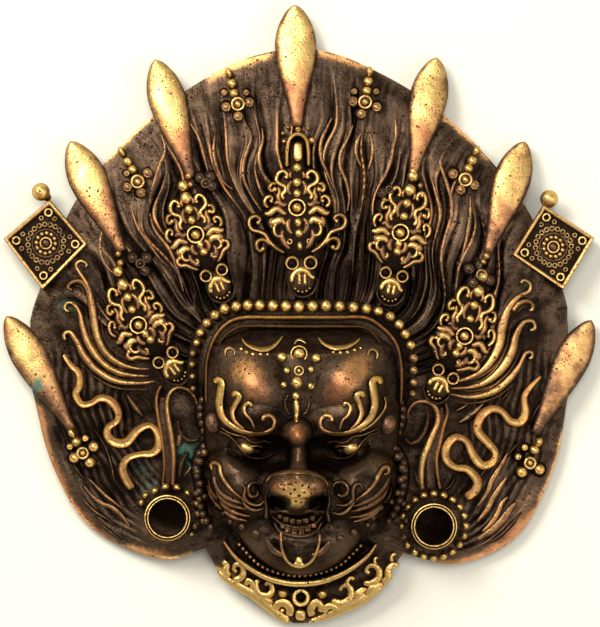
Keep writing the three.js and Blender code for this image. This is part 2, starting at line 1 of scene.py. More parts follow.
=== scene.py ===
"""A cast bronze wall mask of a wrathful guardian, with its floor, lights and camera.

Shapes are worked out in millimetres and handed over in metres. +X is to the right of the face seen from the
front, +Y towards the crown and +Z out of the face. The mask lies on its back rim, in the plane Z = 0.
"""
import logging
import math
from collections.abc import Callable, Sequence
from dataclasses import dataclass
from enum import Enum

import bmesh
import bpy
import numpy as np
from mathutils.kdtree import KDTree
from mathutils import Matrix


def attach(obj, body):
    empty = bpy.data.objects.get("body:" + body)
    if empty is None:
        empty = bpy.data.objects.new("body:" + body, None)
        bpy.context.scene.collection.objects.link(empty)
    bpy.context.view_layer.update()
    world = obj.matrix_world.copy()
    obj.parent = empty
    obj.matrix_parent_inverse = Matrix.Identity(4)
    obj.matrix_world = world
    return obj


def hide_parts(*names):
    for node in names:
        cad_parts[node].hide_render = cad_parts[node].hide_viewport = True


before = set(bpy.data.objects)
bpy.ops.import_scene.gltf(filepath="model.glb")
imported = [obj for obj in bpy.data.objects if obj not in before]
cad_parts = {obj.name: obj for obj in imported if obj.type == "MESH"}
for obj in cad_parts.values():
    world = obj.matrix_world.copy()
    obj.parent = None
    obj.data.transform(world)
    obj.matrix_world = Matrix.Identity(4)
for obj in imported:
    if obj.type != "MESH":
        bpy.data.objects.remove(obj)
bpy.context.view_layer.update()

LOG = logging.getLogger("mask")
MM = 0.001
NODE = "mask"
BODY = "root"
LAYERS = ("wear", "tone", "green")
# How golden the rubbed metal is
BLACK, DARK, COPPER, WARM, GOLD, BRASS = 0.0, 0.1, 0.3, 0.6, 0.95, 1.0

Array = np.ndarray
Point = tuple[float, float]
Triple = tuple[float, float, float]
Trace = Sequence[Point]
Heights = Callable[[Array, Array], Array]
Material = bpy.types.Material
Thing = bpy.types.Object


# Heights over the plane of the back rim


@dataclass(frozen=True)
class Dome:
    """The domed front of the fan: its edge, its rise and its half-widths."""

    edge: float = 5.0
    rise: float = 16.0
    radius_x: float = 112.0
    radius_y: float = 116.0
    centre_y: float = -6.0
    wall: float = 4.0

    def top(self, x: Array, y: Array) -> Array:
        """Height of the plain dome."""
        s = (x / self.radius_x) ** 2 + ((y - self.centre_y) / self.radius_y) ** 2
        return self.edge + self.rise * np.maximum(0.0, 1.0 - s)


@dataclass(frozen=True)
class Egg:
    """A square-topped egg round the middle of the head."""

    half_width: float
    rise: float
    drop: float
    x: float = 1.2
    y: float = -36.0
    squareness: float = 3.6

    def share(self, x: Array, y: Array) -> Array:
        """0 in the middle and 1 on the outline."""
        u = np.abs(x - self.x) / self.half_width
        v = y - self.y
        n = self.squareness
        upper = (u**n + np.abs(v / self.rise) ** n) ** (1 / n)
        return np.where(v > 0, upper, np.hypot(u, v / self.drop))

    def edge(self, angle: Array, grow: float = 0.0, share: float = 1.0) -> Array:
        """Points of the outline in given directions.

        Args:
            angle: Directions from the middle, in radians.
            grow: Millimetres to move the outline out.
            share: Share of its size to draw it in to.

        Returns:
            One row of X and Y for each direction.
        """
        grown = Egg(self.half_width + grow, self.rise + grow, self.drop + grow)
        c, s = np.cos(angle), np.sin(angle)
        reach = share / grown.share(self.x + c, self.y + s)
        return np.stack([self.x + c * reach, self.y + s * reach], axis=-1)


@dataclass(frozen=True)
class Swell:
    """A swelling or hollow of the face: middle, half-widths, rise, how it falls away, and its taper."""

    x: float
    y: float
    rx: float
    ry: float
    rise: float
    fall: float
    pair: bool = False
    taper: float = 0.0

    def lift(self, x: Array, y: Array) -> Array:
        """What it adds to the height."""
        total = np.zeros(np.shape(x))
        for side in (-1, 1) if self.pair else (1,):
            up = (y - self.y) / self.ry
            across = (x - side * self.x) / (self.rx * np.maximum(0.2, 1.0 + self.taper * up))
            total += self.rise * np.maximum(0.0, 1.0 - (across**2 + up**2)) ** self.fall
        return total


DOME = Dome()
HEAD = Egg(39.5, 35.2, 68.0)
POCKET = Egg(34.0, 29.5, 60.0)
HEAD_EDGE = 24.0
HEAD_CROWN = 39.0
# Share of the head's outline where the fan runs in under it
HEAD_SEAM = 0.93

FACE_FORMS = (
    Swell(0, -6.5, 46, 9.5, -6.5, 1.0),
    Swell(-17.6, -28.5, 15, 16, 8, 1.9),  # brows
    Swell(19.6, -27.5, 16, 15.5, 8, 1.9),
    Swell(0, -26, 7, 19, 1.5, 1.5),  # ridge of the jewels
    Swell(-0.6, -46.6, 6.8, 6.0, 9, 1.1),  # root of the nose
    Swell(20, -42.5, 17, 7, 5, 1.5, True),  # ridge under the flames
    Swell(14.5, -55, 15, 8.5, -8, 1.2, True),  # eye sockets
    Swell(20.2, -52.6, 7, 5, 6, 0.9, True),  # eyes
    Swell(0, -57, 4.8, 12, 7, 1.2),  # bridge
    Swell(0, -65.5, 16, 7.5, 6.5, 0.8),
    Swell(-0.7, -69.8, 10.5, 9.0, 9.5, 0.5, False, 0.38),  # tip of the nose
    Swell(0, -67.0, 13, 7.5, 2.0, 0.7),
    Swell(9.8, -69.2, 5.6, 4.6, 4.5, 1.1, True),  # nostril wings
    Swell(7.6, -74.6, 5.2, 3.6, -6, 1.0, True),  # nostrils
    Swell(27.5, -65.5, 13.5, 12.5, 9.5, 1.25, True),  # cheeks
    Swell(21, -74, 14, 12, 5, 1.3, True),
    Swell(0, -77, 12, 10, 4, 1.5),  # muzzle
    Swell(0, -81.5, 11.5, 5.5, -4, 0.9),  # mouth
    Swell(0, -88.5, 11, 5, 3.5, 1.2),  # lower lip
    Swell(16, -88, 9, 7, 4, 1.2, True),
    Swell(0, -96, 22, 10, 6, 1.2),  # chin
)


def face_top(x: Array, y: Array) -> Array:
    """Height of the face with its larger forms."""
    share = np.minimum(1.0, HEAD.share(x, y))
    z = HEAD_EDGE + (HEAD_CROWN - HEAD_EDGE) * (1.0 - share**4)
    return z + sum(form.lift(x, y) for form in FACE_FORMS)


def ground(x: Array, y: Array) -> Array:
    """Height of whatever a small ornament sits on."""
    return np.where(HEAD.share(x, y) < 1.0, face_top(x, y), DOME.top(x, y))


def level(height: float) -> Heights:
    """A flat ground at one height."""
    return lambda x, y: np.full_like(np.asarray(x, float), height)


def raised(base: Heights, lift: float) -> Heights:
    """The same ground, lifted."""
    return lambda x, y: base(x, y) + lift


def value_at(base: Heights | float, at: Point) -> float:
    """Height of a ground at one point, or the height itself."""
    return float(base(*map(np.array, at)) if callable(base) else base)


# Paths


def resampled(points: Array, places: Array) -> Array:
    """Points of a polyline at given distances along it."""
    along = np.concatenate([[0.0], np.cumsum(np.hypot(*np.diff(points, axis=0).T))])
    return np.stack([np.interp(places, along, row) for row in points.T], axis=-1)


def length_of(points: Array) -> float:
    """Length of a polyline."""
    return float(np.hypot(*np.diff(points, axis=0).T).sum())


def evenly(points: Array, count: int, closed: bool = False) -> Array:
    """Points at even distances along a polyline, without the last where it closes."""
    return resampled(points, np.linspace(0, length_of(points), count, endpoint=not closed))


def curve(points: Trace) -> Array:
    """A dense smooth curve through the given points."""
    p = np.asarray(points, float)
    ends = np.vstack([2 * p[0] - p[1], p, 2 * p[-1] - p[-2]])
    t = np.linspace(0.0, 1.0, 12, endpoint=False)[:, None]
    spans = [
        0.5 * (2 * b + (c - a) * t + (2 * a - 5 * b + 4 * c - d) * t**2 + (3 * b - a - 3 * c + d) * t**3)
        for a, b, c, d in zip(ends, ends[1:], ends[2:], ends[3:])
    ]
    return np.vstack([*spans, p[-1:]])


def beside(line: Array, reach: Array | float) -> tuple[Array, Array]:
    """X and Y of points so far to the left of each point of a line."""
    tangent = np.gradient(line, axis=0)
    tangent /= np.maximum(1e-9, np.hypot(tangent[:, 0], tangent[:, 1]))[:, None]
    return line[:, :1] - tangent[:, 1:] * reach, line[:, 1:] + tangent[:, :1] * reach


def disc(centre: Point, radius: float, sides: int) -> Array:
    """A circle as a ring of points."""
    a = np.linspace(0.0, 2 * math.pi, sides, endpoint=False)
    return np.stack([centre[0] + radius * np.cos(a), centre[1] + radius * np.sin(a)], axis=-1)


def stood(flat: Array, z: Array | float) -> Array:
    """Points with a height beside their X and Y."""
    return np.concatenate([flat, np.broadcast_to(z, flat.shape[:-1])[..., None]], axis=-1)


def spread(values: float | Sequence[float], share: Array) -> Array:
    """Values given at even shares of a length, read at other shares."""
    knots = np.atleast_1d(np.asarray(values, float))
    return np.interp(share, np.linspace(0, 1, len(knots)), knots)


def soft_step(low: float, high: float, value: Array) -> Array:
    """0 below the first limit, 1 past the second, and smooth between them."""
    t = np.clip((value - low) / (high - low), 0.0, 1.0)
    return t * t * (3 - 2 * t)


def bell(value: Array, width: float) -> Array:
    """1 at zero, falling away smoothly on both sides."""
    return np.exp(-((value / width) ** 2))


def blurred(values: Array, rounds: int) -> Array:
    """A grid of values, each averaged with its neighbours a number of times."""
    out = values.copy()
    for _ in range(rounds):
        padded = np.pad(out, 1, mode="edge")
        out = (padded[:-2, 1:-1] + padded[2:, 1:-1] + padded[1:-1, :-2] + padded[1:-1, 2:] + 2 * out) / 6
    return out


# Meshes


class Profile(Enum):
    """Cross-sections of a raised strip: shares across, and height at each."""

    ROUND = ((-1, -0.92, -0.71, -0.38, 0, 0.38, 0.71, 0.92, 1), (0, 0.39, 0.71, 0.92, 1, 0.92, 0.71, 0.39, 0))
    CREST = ((-1, -0.7, -0.4, -0.16, 0, 0.16, 0.4, 0.7, 1), (0, 0.3, 0.62, 0.93, 1, 0.93, 0.62, 0.3, 0))
    BAND = ((-1, -0.94, -0.78, -0.4, 0, 0.4, 0.78, 0.94, 1), (0, 0.6, 0.9, 0.98, 1, 0.98, 0.9, 0.6, 0))
    LIPPED = ((-1, -0.96, -0.8, -0.55, 0, 0.55, 0.8, 0.96, 1), (0, 0.7, 1, 0.72, 0.66, 0.72, 1, 0.7, 0))


def blank() -> tuple[bmesh.types.BMesh, list[bmesh.types.BMLayerItem]]:
    """An empty mesh with the layers of the casting."""
    bm = bmesh.new()
    return bm, [bm.verts.layers.float.new(layer) for layer in LAYERS]


def sheet(stack: Array) -> bmesh.types.BMesh:
    """A grid of faces whose points take their place and layers from rows and columns of numbers."""
    rows, columns = (count - 1 for count in stack.shape[:2])
    bm, layers = blank()
    bmesh.ops.create_grid(bm, x_segments=columns, y_segments=rows, size=1.0)
    for vert in bm.verts:
        value = stack[round((vert.co.y + 1) / 2 * rows), round((vert.co.x + 1) / 2 * columns)]
        vert.co = value[:3]
        for layer, amount in zip(layers, value[3:]):
            vert[layer] = amount
    return bm


class Casting:
    """One piece of the casting, gathered from small closed meshes.

    Each point carries how worn it is, how golden the metal there is, and how green; in places wear and tone
    also hold painted light and shade.
    """

    def __init__(self, name: str) -> None:
        """Starts an empty piece."""
        self.name = name
        self.gathered, _ = blank()

    def grid(self, points: Array, wear: Array, tone: Array | float, closed: bool = False,
             green: Array | float = 0.0) -> None:
        """Adds a grid bent into a tube, with its seam and poles merged.

        Args:
            points: Rows and columns of X, Y and Z in millimetres.
            wear: Wear of each point.
            tone: Tone of each point.
            closed: Whether the last row meets the first too.
            green: Verdigris of each point.
        """
        values = [np.broadcast_to(np.asarray(v, float), points.shape[:2]) for v in (wear, tone, green)]
        stack = np.concatenate([points, np.stack(values, axis=-1)], axis=-1)
        stack = np.concatenate([stack, stack[:, :1]], axis=1)
        bm = sheet(np.concatenate([stack, stack[:1]]) if closed else stack)
        bmesh.ops.remove_doubles(bm, verts=bm.verts, dist=1e-5)
        self.take(bm)

    def take(self, bm: bmesh.types.BMesh) -> None:
        """Adds a finished small mesh and frees it."""
        bmesh.ops.recalc_face_normals(bm, faces=bm.faces)
        mesh = bpy.data.meshes.new("part")
        bm.to_mesh(mesh)
        self.gathered.from_mesh(mesh)
        bpy.data.meshes.remove(mesh)
        bm.free()

    def strip(self, path: Trace, wide: Sequence[float], high: float, base: Heights = ground, *,
              profile: Profile = Profile.ROUND, tone: float | Sequence[float] = BRASS, wear: float = 0.95,
              sunk: float = 1.6, step: float = 0.9, thin: float = 0.35) -> None:
        """Adds a raised strip along a path, with rounded ends.

        Args:
            path: Points that it passes through.
            wide: Half-widths at even shares of its length.
            high: Height over the ground at full width.
            base: Ground that it sits on.
            profile: Its cross-section.
            tone: Tone, or tones at even shares of its length.
            wear: Wear along its top.
            sunk: Depth of its foot in the ground.
            step: Distance between its sections.
            thin: Share of the height kept where the strip is at its narrowest.
        """
        dense = curve(path)
        total = length_of(dense)
        start, end = np.minimum([wide[0], wide[-1]], total / 3)
        turn = 1.0 - np.cos(np.radians([0.0, 28.0, 55.0, 75.0]))
        middle = np.linspace(start, total - end, max(3, round((total - (start + end)) / step)))
        places = np.concatenate([start * turn, middle, total - end * turn[::-1]])[:, None]
        closing = np.clip(np.minimum(places / start, (total - places) / end), 0.0, 1.0)
        cap = np.sqrt(np.clip(1.0 - (1.0 - closing) ** 2, 0.0, 1.0))
        width = spread(wide, places / total)
        feet = ((0.6, -0.6), (0.0, 0.0))
        across, lift = (np.array([*row, *foot]) for row, foot in zip(profile.value, feet))
        x, y = beside(resampled(dense, places[:, 0]), across * (width * cap))
        height = high * (thin + (1.0 - thin) * width / max(wide)) * cap
        under = np.repeat([0.0, 1.0], [len(lift) - 2, 2])
        z = base(x, y) + lift * height - sunk * under * cap
        worn = wear * soft_step(0.15, 0.85, lift) * (0.35 + 0.65 * cap)
        self.grid(np.stack([x, y, z], axis=-1), worn, spread(tone, places / total))

    def strips(self, paths: Sequence[Trace], *args: object, **options: object) -> None:
        """Adds a strip along each path."""
        for path in paths:
            self.strip(path, *args, **options)

    def bead(self, at: Point, radius: float, base: Heights | float = ground, *, high: float | None = None,
             tone: float = BRASS, wear: float = 0.95, longer: float = 1.0, turn: float = 0.0,
             detail: int = 10) -> None:
        """Adds a rounded bead, half sunk in the ground.

        Args:
            at: Its middle.
            radius: Its radius across.
            base: Ground that it sits on, or the height of its middle.
            high: Height over the ground.
            tone: Its tone.
            wear: Wear of its top.
            longer: Length of the bead over its width.
            turn: Turn of its length from +Y, in degrees.
            detail: Sides round it.
        """
        height = radius if high is None else high
        foot = value_at(base, at)
        bm, layers = blank()
        bmesh.ops.create_uvsphere(bm, u_segments=detail, v_segments=max(5, detail // 2 + 1), radius=1.0)
        a = math.radians(turn)
        for vert in bm.verts:
            u, v, w = vert.co
            v *= longer
            vert[layers[0]] = wear * min(1.0, max(0.0, 0.25 + 1.6 * w))
            vert[layers[1]] = tone
            vert.co = (at[0] + radius * (u * math.cos(a) - v * math.sin(a)),
                       at[1] + radius * (u * math.sin(a) + v * math.cos(a)),
                       foot + w * (height if w > 0 else min(height, 2.4)))
        self.take(bm)

    def beads(self, spots: Sequence[Triple], *args: object, larger: float = 1.0, **options: object) -> None:
        """Adds a bead at each X, Y and radius, the radius enlarged."""
        for x, y, radius in spots:
            self.bead((x, y), radius * larger, *args, **options)

    def ring(self, at: Point, radius: float, thick: float, base: Heights | float = ground, *,
             high: float = 1.0, tone: float = BRASS, wear: float = 0.95, sides: int = 24) -> None:
        """Adds a raised ring.

        Args:
            at: Its middle.
            radius: Radius of its middle line.
            thick: Half of its width.
            base: Ground that it sits on, or a height.
            high: Height over the ground.
            tone: Its tone.
            wear: Wear of its top.
            sides: Points round it.
        """
        a = np.linspace(0, 2 * math.pi, sides, endpoint=False)[:, None]
        up = np.array([0.0, 0.7, 1.0, 1.0, 0.7, 0.0, -0.6, -0.6])
        reach = radius + thick * np.array([1.0, 0.88, 0.45, -0.45, -0.88, -1.0, -0.8, 0.8])
        flat = np.stack([at[0] + reach * np.cos(a), at[1] + reach * np.sin(a)], axis=-1)
        self.grid(stood(flat, value_at(base, at) + high * up), wear * np.clip(up * 1.2, 0, 1), tone, True)

    def moulded(self, outline: Array, rows: Sequence[Triple], base: Heights, *, tone: float = BRASS,
                centre: Point | None = None) -> None:
        """Adds a closed form made of one outline drawn in or out at several heights.

        Args:
            outline: The ring of points, row by row of X and Y.
            rows: Share of the outline's size, height over the ground, and wear, from the top to the foot.
            base: Ground that it sits on.
            tone: Its tone.
            centre: Point that it shrinks towards, or none for the middle of the outline.
        """
        middle = outline.mean(axis=0) if centre is None else np.asarray(centre, float)
        shares, lifts, worn = np.array(rows, float).T[..., None]
        flat = middle + (outline - middle) * shares[..., None]
        self.grid(stood(flat, base(flat[..., 0], flat[..., 1]) + lifts), worn, tone)

    def finish(self, material: Material, sharp: float = 58.0) -> Thing:
        """Turns what was gathered into an object in metres.

        Args:
            material: Its material.
            sharp: Angle between faces, in degrees, past which an edge stays sharp.

        Returns:
            The finished object.
        """
        bmesh.ops.scale(self.gathered, vec=(MM, MM, MM), verts=self.gathered.verts)
        mesh = bpy.data.meshes.new(self.name)
        self.gathered.to_mesh(mesh)
        self.gathered.free()
        mesh.polygons.foreach_set("use_smooth", [True] * len(mesh.polygons))
        mesh.set_sharp_from_angle(angle=math.radians(sharp))
        mesh.materials.append(material)
        piece = bpy.data.objects.new(self.name, mesh)
        bpy.context.collection.objects.link(piece)
        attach(piece, BODY)
        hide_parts(NODE)
        LOG.info("%s: %d triangles", self.name, sum(len(face.vertices) - 2 for face in mesh.polygons))
        return piece


@dataclass(frozen=True)
class Patch:
    """A patch laid over wear and tone: middle, half-widths, turn in degrees, wear and tone. Most are rubbed
    bright by handling; those with wear below zero darken.
    """

    x: float
    y: float
    rx: float
    ry: float
    turn: float
    wear: float
    tone: float

    def share(self, x: Array, y: Array) -> Array:
        """1 in the middle of the patch, falling to 0 outside it."""
        a = math.radians(self.turn)
        u = (x - self.x) * math.cos(a) + (y - self.y) * math.sin(a)
        v = (y - self.y) * math.cos(a) - (x - self.x) * math.sin(a)
        return np.exp(-1.6 * ((u / self.rx) ** 2 + (v / self.ry) ** 2) ** 1.3)


def rubbed(x: Array, y: Array, wear: Array, tone: Array, rubs: Sequence[Patch]) -> tuple[Array, Array]:
    """Wear and tone with patches laid over them.

    Args:
        x: X of each point.
        y: Y of each point.
        wear: Wear before.
        tone: Tone before.
        rubs: The patches.

    Returns:
        Wear and tone after.
    """
    for rub in rubs:
        share = rub.share(x, y)
        wear = wear + (rub.wear - wear * 0.4) * share
        tone = tone * (1 - share) + rub.tone * share
    return wear, tone


# The fan, each side of its edge from the crown down: dome, lobe and collar

LEFT_EDGE = (
    [(0, 107.6), (-27.4, 99.6), (-58.2, 79.2), (-88.2, 46.8), (-104.2, 8), (-107.4, -2.8)],
    [(-106.6, -30.4), (-98.6, -60.4), (-83.4, -85.2), (-55.4, -98), (-37.4, -93.6)],
    [(-32.6, -102), (-14.6, -114.8), (-3.4, -123.8)],
)
RIGHT_EDGE = (
    [(0, 107.6), (24, 100.6), (57, 80.8), (88.6, 46.4), (105.8, 9.2), (107.8, -3.6)],
    [(107.8, -33.2), (102.6, -60.4), (88, -88.4), (63.8, -100), (41.8, -95.6)],
    [(36, -104), (20.6, -116.4), (3.8, -123.8)],
)
BACK_OPENING = [
    (0, 96), (40, 82), (68, 55), (88, 24), (98, -12), (97, -42), (80, -72), (54, -88), (28, -92), (0, -106),
]

# Lines that the hair follows, from the hairline out to the edge, round from the left over the crown
HAIR_LINES = [
    [(-43.4, -20.4), (-59.4, -14.4), (-75.4, -6.4), (-89.4, -0.4), (-105, 4.8)],
    [(-42.6, -12.4), (-53.4, -7.2), (-67.4, 1.6), (-77.4, 9.6), (-80.2, 18.4), (-82.6, 27.6), (-87.4, 35.6),
     (-92.2, 42)],
    [(-40.2, -6.4), (-46.6, 3.6), (-52.2, 7.6), (-62.2, 20.8), (-67, 29.6), (-69.8, 39.6), (-74.6, 49.6),
     (-77.8, 61.6)],
    [(-37.4, -1.6), (-45, 5.6), (-48.2, 19.6), (-53.4, 29.6), (-59.4, 40.8), (-56.2, 51.6), (-54.2, 58.4),
     (-57, 67.6), (-65, 73.2)],
    [(-33.4, 1.2), (-39.4, 9.6), (-43.4, 20.8), (-48.2, 31.6), (-50.6, 43.6), (-49, 53.6), (-50.6, 61.6),
     (-54.2, 70.4), (-57.8, 79.2)],
    [(-26.6, 4), (-25, 13.6), (-22.6, 23.6), (-24.6, 39.6), (-32.6, 50.8), (-37, 59.6), (-39.4, 69.6),
     (-44.2, 79.6), (-47.4, 88)],
    [(-20.2, 4.8), (-19.4, 14.4), (-18.6, 25.6), (-19.8, 38.4), (-25, 47.6), (-29, 58.4), (-31.4, 69.6),
     (-33.8, 81.6), (-35.4, 95.6)],
    [(-14.6, 5.2), (-16.2, 13.6), (-14.6, 23.6), (-13, 33.6), (-14.2, 40), (-18.2, 46.8), (-21.8, 53.6),
     (-22.2, 60.8), (-19, 69.6), (-20.6, 76.8), (-23.4, 85.6), (-24.2, 101.2)],
    [(-9.4, 5.2), (-11, 13.6), (-9, 23.6), (-6.6, 33.6), (-5.8, 43.6), (-7.8, 48.8), (-11.8, 53.2),
     (-15, 58.4), (-15.8, 64.4), (-14.2, 70.4), (-14.6, 78.4), (-15.4, 89.6), (-16.2, 104)],
    [(0.2, 5.2), (0.2, 17.6), (-0.6, 33.6), (-0.6, 53.6), (-0.6, 69.6), (-0.6, 81.6), (-0.6, 93.6),
     (-0.6, 107.2)],
    [(9.4, 5.2), (9, 13.6), (10.2, 22.4), (13.8, 31.6), (14.2, 41.6), (13.8, 49.6), (10.6, 56.8),
     (8.6, 63.6), (9, 69.6), (11.8, 76.8), (12.6, 87.6), (14.2, 104)],
    [(16.6, 4.8), (17, 13.6), (18.2, 22.4), (21.4, 31.6), (21, 40.8), (19.8, 47.2), (17, 54.4),
     (16.6, 60.4), (18.6, 67.2), (21.8, 74.8), (22.6, 83.6), (23.4, 100.4)],
    [(22.6, 4.4), (26.6, 15.6), (25.4, 31.6), (27, 45.6), (29.4, 57.6), (28.2, 67.6), (29, 77.6),
     (30.6, 87.6), (32.6, 95.6)],
    [(28.6, 3.6), (34.6, 13.6), (34.6, 29.6), (32.6, 45.6), (37.4, 57.6), (37.8, 69.6), (39, 79.6),
     (39, 86.4), (41.4, 91.2)],
    [(35.8, 2), (47.8, 9.6), (50.2, 20.8), (48.6, 31.6), (44.6, 45.6), (45.4, 57.6), (50.2, 67.6),
     (53.8, 75.6), (57, 80.8)],
    [(40.6, -1.6), (52.6, 2.4), (56.6, 13.6), (53.4, 29.6), (55.8, 43.6), (52.6, 57.6), (54.2, 67.6),
     (59, 73.6), (63.8, 74.8)],
    [(43.8, -7.6), (56.6, -1.6), (60.6, 9.6), (58.2, 23.6), (61.4, 39.6), (59, 51.6), (62.6, 61.6),
     (67, 67.6), (71, 68)],
    [(45.4, -14.4), (60.6, -8.4), (68.6, 5.6), (70.6, 19.6), (72.6, 33.6), (71, 45.6), (74.2, 53.6),
     (77.4, 60.4)],
    [(45.8, -20.4), (62.6, -14.4), (75.8, -1.6), (81.4, 13.6), (82.6, 25.6), (86.6, 35.6), (92.2, 41.2)],
    [(45.8, -26.4), (66.6, -18.4), (84.6, -8.4), (96.6, -1.6), (106.2, 6.4)],
]
# Where the plain lower part of the fan is ruled, from the right round to the left: hairline and edge
LOWER_LINES = [
    [(43.8, -34.4), (107.8, -33.6)],
    [(42.2, -50.4), (103, -59.2)],
    [(39, -66.4), (89.4, -87.6)],
    [(32.6, -78.4), (63.8, -100)],
    [(27.8, -86.4), (42.2, -95.6)],
    [(21.4, -93.6), (35.8, -103.6)],
    [(12.6, -99.2), (21.4, -117.2)],
    [(0.6, -102.4), (0.2, -123.6)],
    [(-10.6, -99.2), (-19.4, -111.6)],
    [(-19.4, -93.6), (-32.6, -102)],
    [(-25.8, -86.4), (-37.4, -93.6)],
    [(-30.6, -78.4), (-59.4, -97.2)],
    [(-36.2, -66.4), (-85.4, -83.2)],
    [(-39.4, -50.4), (-101.4, -53.2)],
    [(-41.8, -34.4), (-106.6, -30.4)],
]
# Rubbed stretches of the edge: both ends, depth in from the edge, wear and tone
EDGE_RUBS = (
    ([(-10.6, 106), (-37.4, 94.4)], 3.8, 0.75, 0.6),
    ([(7.8, 106.4), (29.4, 97.6)], 3.8, 0.6, 0.35),
    ([(57, 80.4), (76.6, 61.6)], 2.8, 0.62, 0.5),
    ([(-59.4, 78.4), (-77.8, 62)], 1.4, 0.5, 0.4),
    ([(-106.2, -34.4), (-95.4, -70.4)], 2.4, 0.7, 0.15),
    ([(-95.4, -70.4), (-71.4, -93.6)], 3.4, 0.6, 0.15),
    ([(-71.4, -93.6), (-43.4, -96)], 3, 0.8, 0.6),
    ([(-32.2, -102.4), (-4.2, -123.2)], 3, 0.95, 0.95),
    ([(5.4, -123.6), (35.8, -106.4)], 2.4, 0.9, 0.9),
    ([(52.6, -98.4), (96.6, -78.4)], 3.5, 0.55, 0.2),
    ([(96.6, -78.4), (107, -46.4)], 1.2, 0.5, 0.3),
)
FAN_RUBS = (
    Patch(0, 13, 46, 20, 0, 0.01, 0.1),
    Patch(-54, -92, 16, 5, 15, 0.25, 0.25),
    Patch(84, -84, 20, 9, 48, 0.4, 0.02),
    Patch(79, -68, 4, 15, -22, 0.36, 0.08),
    Patch(-84, -74, 24, 6, -52, 0.3, 0.02),
    Patch(-60, -88, 18, 7, -22, 0.3, 0.02),
    Patch(55, 36, 4, 13, 0, 0.3, 0.08),
    Patch(63, 34, 3.5, 10, 5, 0.28, 0.1),
    Patch(54, 58, 3, 9, -10, 0.27, 0.08),
    Patch(69, 26, 3.5, 9, 10, 0.24, 0.1),
    Patch(84, 22, 8, 16, 10, 0.12, 0.04),
    Patch(-63, 39, 4, 11, 15, 0.26, 0.06),
    Patch(-54, 20, 3.5, 11, 20, 0.24, 0.04),
    Patch(18, 64, 5, 12, 0, 0.22, 0.1),
    Patch(-19, 64, 5, 13, 0, 0.22, 0.1),
    Patch(-32, 60, 4, 11, 20, 0.24, 0.1),
    Patch(30, 60, 4, 11, -20, 0.22, 0.1),
    Patch(0, 90, 60, 9, 0, 0.05, 0.08),
    Patch(50, 82, 12, 9, -40, 0.02, 0.08),
)
# Strands on the lower part of the fan: path, half-width and wear
FAN_STRANDS = (
    ([(-83.8, -66), (-80.6, -69.2), (-77.4, -72.4), (-73.8, -75.2), (-70.2, -78)], 0.8, 0.62),
    ([(-85.8, -68.8), (-82.6, -72.8), (-78.2, -76), (-74.2, -77.6), (-70.2, -81.2), (-67.4, -85.2)], 1.1,
     0.62),
    ([(-88.2, -71.6), (-84.2, -76.4), (-80.6, -79.6), (-76.6, -82), (-72.6, -84.8)], 1, 0.55),
    ([(-81.8, -80.8), (-78.6, -84.4), (-74.2, -88), (-70.6, -90.4)], 0.9, 0.5),
    ([(-90.6, -59.2), (-87.4, -64), (-84.6, -66.4)], 0.9, 0.42),
    ([(-82.2, -45.6), (-79.4, -49.2), (-76.6, -54.4), (-74.6, -61.2), (-73.4, -66.4), (-70.2, -71.2)], 0.9,
     0.5),
    ([(-79.4, -44), (-76.2, -52.8), (-72.2, -59.2), (-71.4, -63.2)], 0.6, 0.4),
    ([(-68.6, -32), (-66.6, -35.2), (-64.2, -38.4), (-61.8, -41.2)], 1.8, 0.5),
    ([(-70.2, -31.2), (-68.6, -36), (-67, -41.6)], 0.7, 0.45),
    ([(-62.6, -32.8), (-59.8, -35.6), (-58.2, -39.2)], 0.7, 0.5),
    ([(-95.4, -42.4), (-91.4, -53.6), (-87.4, -62.4)], 0.7, 0.36),
    ([(-42.2, -60), (-43.8, -62.4), (-45.8, -64.8)], 0.5, 0.8),
    ([(-45.8, -46.4), (-47.4, -49.6), (-48.2, -53.2)], 1.4, 0.6),
    ([(83.8, -55.6), (80.6, -61.2), (77.4, -66.4), (75.4, -71.6), (71.4, -77.2)], 1.3, 0.6),
    ([(83.4, -65.2), (80.6, -69.2), (77.8, -73.6), (75.4, -78.4), (71.4, -83.2)], 1.3, 0.6),
    ([(83.8, -73.2), (81.4, -75.6), (79.4, -80.4), (76.6, -84.4), (73.4, -87.2)], 1.2, 0.7),
    ([(87.4, -75.2), (84.6, -78.4), (81.8, -82.4), (77.8, -86.4), (71.4, -90.4)], 1.8, 0.6),
    ([(89.4, -79.2), (85.4, -84), (80.6, -88.8), (74.2, -92.8)], 1, 0.45),
    ([(79.4, -54.4), (76.2, -59.6), (73, -64.8), (71.8, -68.8)], 0.8, 0.42),
    ([(89.4, -50.4), (85.4, -54.4), (82.2, -58.4)], 0.8, 0.4),
    ([(74.2, -35.2), (71.4, -38.4), (67.8, -41.2), (63.8, -43.6)], 1.8, 0.52),
    ([(68.6, -35.2), (65, -37.6), (62.2, -38.8)], 0.9, 0.5),
    ([(62.6, -64.8), (60.6, -68.8), (56.6, -71.2)], 0.8, 0.36),
    ([(65.4, -55.2), (67.8, -59.2), (65.4, -64)], 0.7, 0.36),
    ([(98.6, -33.6), (94.6, -39.2), (92.6, -44)], 0.8, 0.4),
    ([(85.4, -29.6), (82.6, -32.8), (80.6, -35.2)], 0.8, 0.4),
)
